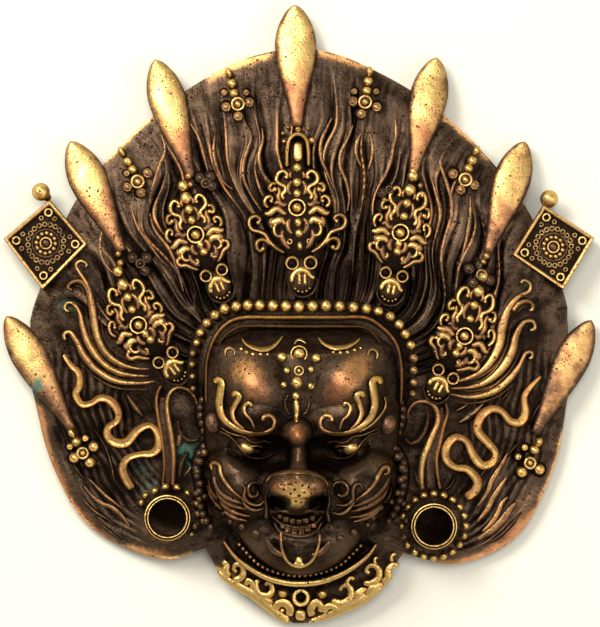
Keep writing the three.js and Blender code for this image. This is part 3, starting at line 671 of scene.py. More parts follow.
HAIR_STRANDS = [
    [(-21, 76), (-19, 70.4), (-21.4, 62.4), (-22.2, 55.2), (-19, 47.6), (-14.6, 40.8)],
    [(-14.6, 74.4), (-14.2, 69.6), (-15.8, 63.2), (-14.6, 56.8), (-11, 52), (-7, 48.4)],
    [(21.8, 75.6), (19.8, 70.4), (17, 64.8), (16.6, 59.2), (19, 52.8), (20.2, 46.4), (19.4, 40.8)],
    [(13.4, 78.4), (11.4, 74.4), (9, 68.8), (9, 62.4), (11.4, 56.4), (14.2, 49.6)],
    [(25.4, 72.8), (23.4, 68.8), (23, 63.6), (25, 58.8)],
    [(27, 74.4), (29.4, 68.8), (29.4, 63.2), (27.8, 57.6)],
    [(-33.4, 71.6), (-33.8, 63.6), (-30.6, 53.6), (-26.2, 49.6)],
    [(-45, 78.4), (-40.2, 71.2), (-37.4, 61.6), (-35.4, 54.4)],
    [(-59.4, 40.4), (-57.4, 33.6), (-51.4, 25.6), (-48.2, 17.6), (-45.8, 8.8)],
    [(-67, 43.2), (-64.6, 35.6), (-59.4, 27.6), (-53.8, 20)],
    [(-55.4, 73.6), (-53.4, 65.6), (-56.2, 57.6), (-58.6, 49.6), (-59.4, 43.2)],
    [(-77.8, 35.2), (-79.4, 28), (-77.8, 20.8), (-72.2, 14.4)],
    [(52.6, 55.6), (55, 47.6), (56.6, 39.6), (54.2, 29.6)],
    [(59, 65.6), (56.6, 60.8), (59, 52.8), (61.4, 43.6), (60.2, 33.6)],
    [(68.6, 47.6), (68.6, 39.6), (67, 29.6), (64.6, 20.8)],
    [(38.6, 78.4), (39, 71.6), (37.4, 64.8)],
    [(43.8, 54.4), (46.2, 43.6), (50.2, 34.4), (50.2, 24.8)],
]
# Verdigris: middle, reach and amount
VERDIGRIS = (
    (-104, -28.4, 4, 1), (-45.2, -54.8, 4.4, 0.85), (-59.4, -69.2, 3.2, 0.4), (-62, -62, 3, 0.2),
    (-93, 4, 2.6, 0.4), (-75, -89, 4, 0.2), (-43, -60, 2.6, 0.5),
)


def greened(points: Array) -> Array:
    """How green each point is."""
    return sum(amount * bell(np.hypot(points[..., 0] - x, points[..., 1] - y), reach)
               for x, y, reach, amount in VERDIGRIS)


class Fan:
    """The fan of flame hair with its thin rim and open back."""

    columns_per_line: int = 26
    lower_columns: int = 9
    rows: int = 112
    groove: float = 3.3
    edge_glow: float = 0.7

    def __init__(self) -> None:
        """Lays out the outline."""
        left, right = (np.vstack([curve(path) for path in side]) for side in (LEFT_EDGE, RIGHT_EDGE))
        self.outline = np.vstack([left[::-1], right[1:], left[-1:]])
        self.along = np.concatenate([[0.0], np.cumsum(np.hypot(*np.diff(self.outline, axis=0).T))])
        self.total = self.along[-1]

    def place(self, point: Point) -> float:
        """Distance along the outline of the point nearest to a given one."""
        gaps = np.hypot(self.outline[:, 0] - point[0], self.outline[:, 1] - point[1])
        return float(self.along[int(gaps[:-1].argmin())])

    def columns(self) -> tuple[Array, Array, Array]:
        """Lays the columns of the front along the hair lines.

        Returns:
            Points of every column from the head to the edge, each column's place on the outline, and its
            place among the hair lines, which is below 0 on the plain part.
        """
        share = np.linspace(0, 1, self.rows) ** 0.92
        lines = [*HAIR_LINES, *LOWER_LINES]
        smooth = [curve(line) if len(line) > 2 else np.asarray(line, float) for line in lines]
        dense = np.array([resampled(line, share * length_of(line)) for line in smooth])
        places = np.unwrap([self.place(line[-1]) for line in lines], period=self.total)
        angles = np.unwrap([math.atan2(line[0][1] - HEAD.y, line[0][0] - HEAD.x) for line in lines])
        hair = len(HAIR_LINES) - 1
        counts = [self.columns_per_line if i < hair else self.lower_columns for i in range(len(lines))]
        first = np.repeat(np.arange(len(lines)), counts)
        part = np.concatenate([np.linspace(0, 1, count, endpoint=False) for count in counts])
        rounded = (np.vstack([dense, dense[:1]]), np.append(places, places[0] + self.total),
                   np.append(angles, angles[0] - 2 * math.pi))
        grid, edges, turn = ((v[first].T * (1 - part) + v[first + 1].T * part).T for v in rounded)
        edges = edges % self.total
        rim = np.stack([np.interp(edges, self.along, self.outline[:, k]) for k in range(2)], axis=-1)
        inner = HEAD.edge(turn, share=HEAD_SEAM)
        t = share[None, :, None]
        grid = grid + (rim[:, None] - grid[:, -1:]) * t**2 + (inner[:, None] - grid[:, :1]) * (1 - t) ** 2
        return grid, edges, np.where(first < hair, first + part, -1.0)

    def relief(self, grid: Array, order: Array, share: Array) -> tuple[Array, Array, Array]:
        """Carves locks of hair between the lines.

        Args:
            grid: Points of every column.
            order: Place of each column among the hair lines.
            share: Share of the way out of each row.

        Returns:
            Lift, wear and tone for each column and row.
        """
        rng = np.random.default_rng(11)
        shape = (len(order), len(share))
        lift, wear, tone = np.zeros(shape), self.streaks(rng, shape), np.full(shape, 0.12)
        u, t = order[:, None], share[None, :]
        apart = np.hypot(*np.moveaxis(grid - np.roll(grid, 1, axis=0), -1, 0)) * self.columns_per_line
        apart = blurred(np.clip(apart, 1.5, 16.0), 6)
        room = soft_step(4.0, 8.5, apart)
        hair = soft_step(0.0, 0.3, u + 0.2) * (u >= 0) * (1 - soft_step(18.8, 19.0, u))
        for i in range(len(HAIR_LINES) - 1):
            for part, deep in ((0.0, 1.0), (0.34, 0.5), (0.67, 0.62)):
                at = i + part + rng.uniform(-0.07, 0.07)
                main = part == 0.0
                start = 0.0 if main else rng.uniform(0.0, 0.2)
                end = rng.uniform(0.86, 0.99) if main else rng.uniform(0.6, 0.93)
                away = (u - at - 0.15 * np.sin(t * 10.5 + at * 1.9)) * apart
                fade = (1 - soft_step(end - 0.3, end, t)) * soft_step(start - 0.15, start + 0.1, t) * hair
                fade = fade * (0.55 + 0.45 * room) if main else fade * room
                across = away * rng.choice([-1, 1])
                valley = np.where(across < 0, bell(across, 0.75), np.exp(-(np.abs(across) / 1.9) ** 1.4))
                lift -= (1.1 + 1.5 * deep) * valley * fade
                wear -= (0.1 + 0.16 * deep) * bell(away, 0.8) * fade
                wear -= 0.08 * np.where(across < 0, 0, valley) * fade
                glow = rng.uniform(0.0, 1.0) ** 1.5
                lip = bell(across + 1.25, 0.7) * fade
                lift += 0.4 * lip
                wear += (0.24 + 0.56 * glow) * lip * soft_step(0.12, 0.5, t)
                tone += (0.25 * rng.uniform(0.0, 1.0) - 0.1) * lip
                comb = bell(across + rng.uniform(2.2, 2.9), 0.45) + bell(across - rng.uniform(2.4, 3.2), 0.4)
                lift -= 0.2 * (comb * fade) * room
                wear -= 0.05 * (comb * fade) * room
        return lift + 0.9 * hair * (1 - soft_step(0.9, 1.0, t)), wear, tone

    def streaks(self, rng: np.random.Generator, shape: tuple[int, int]) -> Array:
        """Wear of the plain surface, streaked along the hair."""
        grain = rng.normal(size=shape)
        for size in (9, 9):
            grain = np.apply_along_axis(np.convolve, 1, grain, np.ones(size) / size, "same")
        grain = (grain + np.roll(grain, 1, axis=0) * 0.6) / grain.std()
        return 0.205 + 0.045 * grain

    def grooves(self, x: Array, y: Array, from_edge: Array) -> tuple[Array, Array]:
        """Grooves that run with the edge of the two lower lobes.

        Args:
            x: X of each point.
            y: Y of each point.
            from_edge: Distance of each point from the edge.

        Returns:
            Lift and change of wear.
        """
        here = soft_step(40, 52, np.abs(x)) * soft_step(4, 8, from_edge)
        here = here * (1 - soft_step(34, 42, from_edge)) * (1 - soft_step(-26, -8, y))
        for centre, _ in CUPS:
            here = here * soft_step(12.5, 15.5, np.hypot(x - centre[0], y - centre[1]))
        phase = from_edge + 1.1 * np.sin(y * 0.16 + x * 0.05) + 0.5 * np.sin(y * 0.41 - x * 0.13)
        patches = 0.6 + 0.4 * np.sin(x * 0.17 + 1.7) * np.sin(y * 0.13 + 0.6)
        valley = np.exp(-(((phase % self.groove) - self.groove / 2) ** 2) / 0.5)
        ridge = np.exp(-(((phase % self.groove) - 0.5) ** 2) / 0.16)
        return -1.3 * valley * here * patches, (0.16 * ridge * patches - 0.2 * valley) * here

    def painted_contact_shade(self, x: Array, y: Array) -> Array:
        """Painted shade: darkening of the ground close to what stands on it, where its shadow falls."""
        spots = []
        for path, *_ in (*EARS, *PLUMES, *RIBBONS, *FAN_STRANDS):
            smooth = curve(path)
            spots.extend(evenly(smooth, max(4, int(length_of(smooth) / 1.2))))
        for crest in CRESTS:
            spots.extend(crest.place(u, v) for u in (-9, -5, 0, 5, 9) for v in range(-26, 22, 4))
        for flower in FLOWERS:
            spots.extend([flower.middle, *flower.petals, *flower.stalk])
        spots.extend(HEAD.edge(np.linspace(0, 2 * math.pi, 160, endpoint=False), grow=3.0))
        tree = KDTree(len(spots))
        for i, spot in enumerate(spots):
            tree.insert((*spot, 0.0), i)
        tree.balance()
        gaps = [tree.find((float(u), float(v), 0.0))[2] for u, v in zip(x.ravel(), y.ravel())]
        return 0.15 * bell(np.array(gaps).reshape(x.shape), 4.2)

    def edge_wear(self, wear: Array, tone: Array, edges: Array, from_edge: Array) -> tuple[Array, Array]:
        """Rubs stretches of the edge bright.

        Args:
            wear: Wear before.
            tone: Tone before.
            edges: Place of each column on the outline.
            from_edge: Distance of each point from the edge.

        Returns:
            Wear and tone after.
        """
        for ends, depth, worn, colour in EDGE_RUBS:
            first, last = sorted(self.place(end) for end in ends)
            if last - first > self.total / 2:
                first, last = last, first + self.total
            here = edges + np.where(edges < first, self.total, 0.0)
            inside = soft_step(first - 3, first + 3, here) * (1 - soft_step(last - 3, last + 3, here))
            streak = 1 + 0.2 * np.sin(here * 0.43) * np.sin(here * 0.17)
            patch = inside[:, None] * bell(from_edge, depth * streak[:, None])
            wear = wear + worn * patch
            tone = tone * (1 - patch) + colour * patch
        return wear + 0.2 * bell(from_edge, self.edge_glow), tone

    def build(self, material: Material) -> Thing:
        """Builds the fan."""
        piece = Casting("fan")
        grid, edges, order = self.columns()
        share = np.linspace(0, 1, self.rows)
        lift, wear, tone = self.relief(grid, order, share)
        x, y = grid[..., 0], grid[..., 1]
        wobble = 0.35 * np.sin(x * 0.31 + 1.3 * np.sin(y * 0.21)) * np.sin(y * 0.27 + 1.1 * np.sin(x * 0.17))
        rim = grid[:, -1]
        from_edge = np.hypot(x - rim[:, None, 0], y - rim[:, None, 1])
        flow, shade = self.grooves(x, y, from_edge)
        # The ground is darkened next to what stands on it: painted shade.
        wear = wear + shade - self.painted_contact_shade(x, y)
        for centre, _ in CUPS:
            wear = wear * soft_step(7.0, 8.5, np.hypot(x - centre[0], y - centre[1]))
        front = DOME.top(x, y) + (lift + flow + wobble) * (1 - soft_step(0.93, 1.0, share))
        wear, tone = rubbed(x, y, *self.edge_wear(wear, tone, edges, from_edge), FAN_RUBS)
        back = self.back(rim)
        points = np.concatenate([stood(grid, front), back], axis=1)
        plain = np.ones(back.shape[:2])
        worn, toned = (np.clip(np.concatenate([values, behind * plain], axis=1), 0, 1)
                       for values, behind in ((wear, 0.22), (tone, DARK)))
        piece.grid(points, worn, toned, True, greened(points))
        for path, wide, worn in FAN_STRANDS:
            piece.strip(path, (0.4 * wide, wide, wide, 0.4 * wide), 1.5, DOME.top, tone=(0.05, 0.35, 0.1),
                        wear=worn, profile=Profile.ROUND if worn > 0.55 else Profile.CREST, step=1.1)
        piece.strips(HAIR_STRANDS, (0.4, 0.9, 1.1, 0.8, 0.4), 1.5, DOME.top, tone=(0.0, 0.35, 0.1, 0.1),
                     wear=0.56, step=1.1)
        return piece.finish(material, 75.0)

    def back(self, rim: Array) -> Array:
        """Rows of points down the edge, in under the rim and up behind the dome.

        Args:
            rim: The outline point of each column.

        Returns:
            Rows of X, Y and Z for each column.
        """
        half = curve(BACK_OPENING)
        hub = np.array([0.0, -20.0])
        whole = np.vstack([half, half[::-1][1:-1] * [-1, 1]]) - hub
        around = np.arctan2(whole[:, 1], whole[:, 0])
        reach = np.hypot(whole[:, 0], whole[:, 1])
        order = np.argsort(around)
        angle = np.arctan2(rim[:, 1] - hub[1], rim[:, 0] - hub[0])
        radius = np.interp(angle, around[order], reach[order], period=2 * math.pi)
        direction = np.stack([np.cos(angle), np.sin(angle)], axis=-1)
        opening = hub + direction * radius[:, None]
        inner = HEAD.edge(np.arctan2(opening[:, 1] - HEAD.y, opening[:, 0] - HEAD.x), share=HEAD_SEAM)
        rows = [stood(rim, 0.7), stood(rim - direction * 0.5, 0.0), stood(opening + direction * 0.6, 0.0),
                stood(opening, 0.8)]
        for f in (0.0, 0.15, 0.35, 0.55, 0.75, 1.0):
            p = opening * (1 - f) + inner * f
            rows.append(stood(p, np.maximum(1.6, DOME.top(p[:, 0], p[:, 1]) - DOME.wall)))
        return np.stack(rows, axis=1)


# The face

FACE_RUBS_AND_PAINTED_SHADE = (
    Patch(-20.5, -22.5, 11, 8.5, -30, 0.64, 0.25),
    Patch(-15.5, -32.5, 9, 8.5, -30, 0.46, 0),
    Patch(22.5, -21.5, 11, 7.8, 35, 0.68, 0.35),
    Patch(15.5, -31.5, 11, 9.5, 40, 0.54, 0),
    Patch(-0.6, -47, 5.6, 5, 0, 0.5, 0.02),
    Patch(-0.8, -70.2, 7.2, 5.2, 0, 0.9, 0.9),
    Patch(-1.2, -74.5, 3, 3, 0, 0.4, 0.9),
    Patch(0, -98, 26, 9, 0, -0.02, 0),
    Patch(0, -104, 14, 3, 0, 0.2, 0),
    # Painted shade: these two darken the skin under the brow ridge, where its shadow falls.
    Patch(-15, -40.5, 13, 4.5, 8, -0.09, 0),
    Patch(16, -40.5, 13, 4.5, -8, -0.09, 0),
    Patch(-8, -67.8, 5.5, 3, 20, 0.32, 0.15),
    Patch(8, -67.8, 5.5, 3, -20, 0.3, 0.1),
    Patch(0, -58, 2.8, 5, 0, 0.22, 0.1),
    Patch(-30, -60.5, 7, 3.5, 10, 0.36, 0.1),
    Patch(-22, -63, 6, 3, -20, 0.22, 0.1),
    Patch(31, -60.5, 7, 3.5, -10, 0.4, 0.2),
    Patch(20, -63, 6, 3, 20, 0.22, 0.1),
    Patch(-15.5, -92.5, 6, 7, 20, 0.26, 0.05),
    Patch(15.5, -92.5, 6, 7, -20, 0.26, 0.05),
)

# Flame brows, each side from its outermost tongue
BROWS = [
    [(-33.4, -27.6), (-32.2, -26), (-30.6, -27.2), (-31, -31.2), (-31.4, -36), (-29.8, -41.2), (-25, -45.2),
     (-19.4, -47.2), (-13.8, -47.2), (-10.2, -45.2), (-9.4, -42), (-11.4, -40), (-13.8, -40.8),
     (-13.8, -42.4)],
    [(-26.2, -32.8), (-25, -31.2), (-23.4, -32.8), (-25, -36), (-26.2, -38.8), (-25, -42.4),
     (-21.4, -45.6)],
    [(-18.2, -36.8), (-19.4, -35.2), (-21.4, -36.4), (-21, -39.2), (-18.6, -42), (-17.4, -45.2)],
    [(33, -28), (31.8, -25.6), (29.4, -26.8), (29.8, -31.2), (30.2, -36), (28.6, -40.8), (23.8, -45.2),
     (18.6, -47.2), (13, -47.2), (9, -45.2), (8.6, -42), (10.6, -40), (13, -40.8), (13, -42.8)],
    [(25.8, -33.2), (25, -31.2), (23, -32.4), (24.2, -36), (25, -39.2), (23.4, -42.8), (20.2, -46)],
    [(17.4, -36.8), (18.6, -35.2), (20.6, -36.8), (19.4, -40), (17.4, -42), (16.2, -45.6)],
]
BROW_WIDTHS = ((1.3, 1.9, 1.7, 1.2, 0.9, 0.9, 1.0), (1.2, 1.4, 1.0, 0.5), (1.0, 1.0, 0.6, 0.4)) * 2
BROW_TAIL = [(34.2, -32.8), (34.6, -36.4), (32.6, -40), (28.6, -44), (23.8, -46.8)]
LIDS = [
    [(-31, -44.8), (-27.8, -46.8), (-24.6, -48), (-21.8, -48.4), (-19.4, -50), (-17, -51), (-13.8, -50.4),
     (-10.6, -51.2)],
    [(-31.4, -46.4), (-27.8, -48), (-25, -50.4), (-23, -53.2), (-20.6, -56), (-17, -57.2), (-13, -56.8),
     (-9.4, -55.2)],
    [(31.4, -45.2), (28.2, -46.8), (25, -48), (21.8, -48.4), (19.8, -50), (17.4, -51), (14.2, -50.4),
     (11, -51.2)],
    [(31.8, -46.8), (28.2, -48), (25.4, -50.4), (23.4, -53.2), (21, -56), (17.4, -57.2), (13.4, -56.8),
     (9.8, -55.2)],
]
EYES = [(-20.4, -53, 3.28), (20.8, -53, 3.28)]
# Pupils: black beads that stand for hollow pupils; their black is painted shade of the hole, with its patina.
PUPILS = [(-16.6, -54.4, 2.24), (17, -54.4, 2.24)]
EYE_RIMS = [
    [(-20.2, -55.6), (-20.2, -53.8), (-18.6, -52.5), (-16.2, -52.2), (-14.2, -52.8)],
    [(20.6, -55.6), (20.6, -53.8), (19, -52.5), (16.6, -52.2), (14.6, -52.8)],
]
CRESCENTS = [
    [(-22.6, -9.6), (-20.6, -12), (-17, -13.6), (-13, -14), (-9.4, -12.4), (-6.2, -8.8)],
    [(7.8, -9.2), (9.8, -11.6), (13.4, -13.2), (17.4, -13.2), (21.4, -12), (24.6, -9.6)],
]
FOREHEAD_DOTS = [
    (-22.6, -14, 0.8), (-20.6, -15.2, 0.8), (-18, -16, 0.92), (-15, -16, 0.8), (-12.2, -16, 0.64),
    (13.8, -15.2, 0.64), (16.6, -15.4, 0.8), (19.4, -15.2, 0.8), (22.2, -14.4, 0.8), (24.6, -13.6, 0.64),
]
FOREHEAD_HOOKS = [
    [(-29, -16.8), (-29, -14.4), (-27.4, -13.2), (-25.4, -14.4), (-25.4, -16.4)],
    [(27.4, -16.4), (28.2, -14.4), (29.8, -14), (31.4, -15.6), (31, -18)],
]
# Jewels down the middle of the forehead: an oval in its ring, a round one in its ring, and beads
OVAL_JEWEL = (0.2, -15.8)
ROUND_JEWEL = (0.2, -22.4)
JEWELS = [
    (-6.6, -17.2, 2.08), (7, -17.6, 2), (-4.6, -22.4, 1.44), (5, -22, 1.44), (-0.6, -27.2, 2.48),
    (-5.8, -28, 1.36), (5, -28.6, 1.6), (-1, -32.4, 1.68),
]
NOSE_COLUMN = [(-1, -33.6), (-0.8, -37.6), (-0.8, -42.8)]
JEWEL_ARCH = [(-1.8, -12), (-0.6, -10.4), (1, -10.2), (3, -11.6)]
NOSE_SIDES = [
    [(-4.2, -32), (-5.4, -35.2), (-4.2, -38.8), (-3, -39.6)],
    [(3, -32), (4.2, -35.2), (3, -38.8), (1.8, -39.6)],
]
NOSE_CREASE = [(-13, -66.4), (-11, -64), (-6.2, -62.4), (-0.2, -62), (5.8, -62.8), (9.8, -64.8),
               (11.8, -67.6)]
CHEEK_ARCS = [
    [(-34.2, -62), (-35, -60), (-33.4, -58.8), (-31.4, -60), (-31, -62.8), (-29, -66.4), (-25.8, -70),
     (-22.2, -72.8)],
    [(-33.8, -64), (-33, -68), (-30.2, -71.6), (-25.4, -74), (-21.4, -74.8)],
    [(-34.6, -66.8), (-33, -70.8), (-29.4, -74.4), (-24.6, -76.4), (-20.6, -77.2)],
    [(-35.8, -66), (-35, -70.4), (-31.8, -74.4), (-27, -78), (-22.2, -79.6), (-19, -80)],
    [(-36.6, -68), (-35, -72.8), (-31, -77.6), (-25.8, -80.8), (-20.2, -82)],
]
RIGHT_ARCS = [
    [(33.8, -63.6), (35.8, -62.8), (35.8, -60.8), (33.8, -60.8), (32.2, -62.8), (30.6, -66.4), (27, -70.4),
     (22.2, -73.6)],
    [(36.2, -64.8), (33.8, -69.2), (29.8, -72.8), (24.6, -75.2), (21, -76)],
    [(37, -66.8), (35, -71.2), (30.6, -74.8), (25, -77.2), (20.6, -78)],
    [(37.4, -68.8), (35.8, -73.6), (31, -78), (25.4, -80), (20.2, -80.4)],
    [(36.6, -72), (32.6, -77.6), (27.4, -80.8), (21.4, -82.4)],
]
CURLS = [
    [(-16.2, -69.6), (-16.2, -71.6), (-18.6, -72), (-19.8, -69.6), (-19, -67.2), (-16.6, -66.4),
     (-15, -67.6)],
    [(15.4, -70.8), (16.6, -72), (19, -70.8), (19.4, -68.4), (17.4, -66.4), (14.6, -66.8), (13.8, -68.4)],
    [(-22.6, -66.8), (-21, -68.8), (-21.4, -72), (-19.4, -74.8), (-15.8, -75.6), (-13.4, -74)],
    [(-22.2, -72.4), (-20.6, -76), (-17, -77.6), (-13.4, -76.8)],
    [(25, -69.2), (24.6, -67.2), (22.6, -67.2), (21.4, -69.6), (21.4, -73.2), (18.6, -75.6), (14.6, -75.2)],
    [(22.2, -74), (19.4, -77.6), (16.2, -79.2), (13, -78.4)],
]
MOUTH_FOLDS = [
    [(-11.8, -68.8), (-13, -72), (-12.6, -77.2), (-12.6, -81.6)],
    [(11.4, -68), (12.2, -72.8), (11.4, -77.6), (12.2, -82.8)],
]
LIPS = [
    [(-9.8, -76), (-6.2, -78), (-0.2, -78.8), (5.4, -77.6), (8.6, -75.6)],
    [(-10.6, -80), (-6.6, -83.2), (-0.2, -84.4), (6.2, -83.2), (9.4, -80)],
    [(-9.8, -82.4), (-7, -86), (-0.2, -87.6), (6.2, -86.4), (9.4, -82.4)],
]
UPPER_TEETH = [
    (-7.4, -80.2, 0.96), (-5, -81.4, 1.16), (-2.4, -82, 1.12), (0.2, -82.2, 1.04), (2.8, -81.8, 1.16),
    (5.4, -80.8, 1.04),
]
LOWER_TEETH = [
    (-6.4, -84, 0.96), (-4.2, -85.2, 1.2), (-1.6, -85.8, 1.2), (1.2, -85.8, 1.28), (3.8, -85, 1.12),
    (6, -83.8, 0.96),
]
# One tooth, from its top to its root: share of its size, height and wear
TOOTH = ((0, 1.9, 0.52), (0.75, 1.8, 0.56), (1, 1.0, 0.36), (1.02, -3, 0), (0, -3, 0))
LIP_WINGS = [
    [(-12.6, -88.8), (-11, -92.4), (-7.8, -94.8), (-4.6, -95.6)],
    [(12.6, -89.6), (10.6, -92.8), (7.8, -94.8), (5, -95.6)],
]
# The tongue: its left edge down to the tip, and its dish
TONGUE_EDGE = [(-7, -85.6), (-6.8, -91.6), (-5.4, -96.4), (-3, -99.2), (0.2, -100.4)]
TONGUE_DISH = ((0, -0.2, 0.2), (0.12, 0.2, 0.25), (0.3, -0.2, 0.15), (0.8, -0.6, 0.1), (0.92, -0.3, 0.2),
               (1.0, -0.6, 0.3), (1.02, -8, 0), (0, -9, 0))
TONGUE_TIP = (0.2, -97.6)
BEARD = [
    (-29.8, -79.6, 1.4), (-27, -82.4, 1.28), (-22.2, -84.4, 1.6), (-16.6, -86.8, 1.92), (29.4, -80.8, 1.4),
    (27.4, -83.6, 1.28), (21.8, -86.4, 1.68), (16.6, -88.8, 1.68), (-32.6, -76.4, 1.28),
    (32.6, -76.8, 1.36),
]
TEMPLES = [(-33.8, -43.2, 3.2), (35.4, -44, 3.2)]
SIDE_BEADS = [
    (-34.6, -52.4, 1.6), (-37.4, -55.2, 1.6), (-39.2, -58.8, 1.6), (-40.2, -62.8, 1.6), (-39, -67.6, 1.44),
    (-40.6, -71.6, 1.36), (-40.6, -75.6, 1.44), (-40.2, -79.6, 1.36), (-41.4, -84.4, 1.36),
    (-38.2, -82.4, 1.2), (-37.4, -72.8, 1.2), (37.8, -53.2, 1.44), (39.4, -56.8, 1.6), (41, -61.2, 1.68),
    (40.6, -66, 1.6), (39.4, -71.2, 1.44), (37, -74.8, 1.28), (41.8, -75.6, 1.2), (43, -82.4, 1.2),
    (42.2, -88.4, 1.2),
]
# Rolls of curls that close the gap between the head and the fan
SIDE_ROLLS = [
    [(-30.6, -50.4), (-34.6, -50.8), (-37.8, -53.2), (-39.8, -57.2), (-40.6, -62.4), (-39.4, -67.6),
     (-39.4, -74.4), (-37.8, -80.8), (-33.8, -86.4)],
    [(-37.8, -32.8), (-39, -38.4), (-38.2, -44), (-37, -48)],
    [(31.8, -50.4), (36.6, -52), (39.8, -55.2), (41.8, -60.4), (41.8, -66.4), (40.6, -72.8), (38.6, -78.4),
     (35, -84)],
    [(39.8, -33.6), (41.4, -38.4), (40.6, -44), (39, -48.8)],
]
# Small pits: middle and radius
PITS = [
    (-5.8, -68.8, 0.4), (-3.8, -66.8, 0.32), (-3, -70.4, 0.48), (-1, -66, 0.32), (-1.4, -68.8, 0.44),
    (0.2, -71.2, 0.52), (1.4, -67.2, 0.44), (2.2, -70, 0.36), (3.8, -68, 0.44), (5, -70.4, 0.32),
    (-1, -73.6, 0.4), (1, -74, 0.36), (-3.8, -72.8, 0.32), (3, -72.4, 0.4), (-7, -67.2, 0.28),
    (6.2, -68.4, 0.28), (-21, -22, 0.4), (-23, -22.8, 0.28), (-19.4, -23.6, 0.36), (-22.2, -25.2, 0.24),
    (-23.8, -20.8, 0.28), (15.4, -20.8, 0.32), (17.8, -26.8, 0.24), (21, -23.2, 0.24),
]
# How the edge of the head is taken in under it: share of an outline, height and the outline
HEAD_TURN = ((1.0, 5.0, HEAD), (0.99, 2.5, POCKET), (0.99, 16.0, POCKET), (0.93, 24.5, POCKET),
             (0.69, 28.5, POCKET))


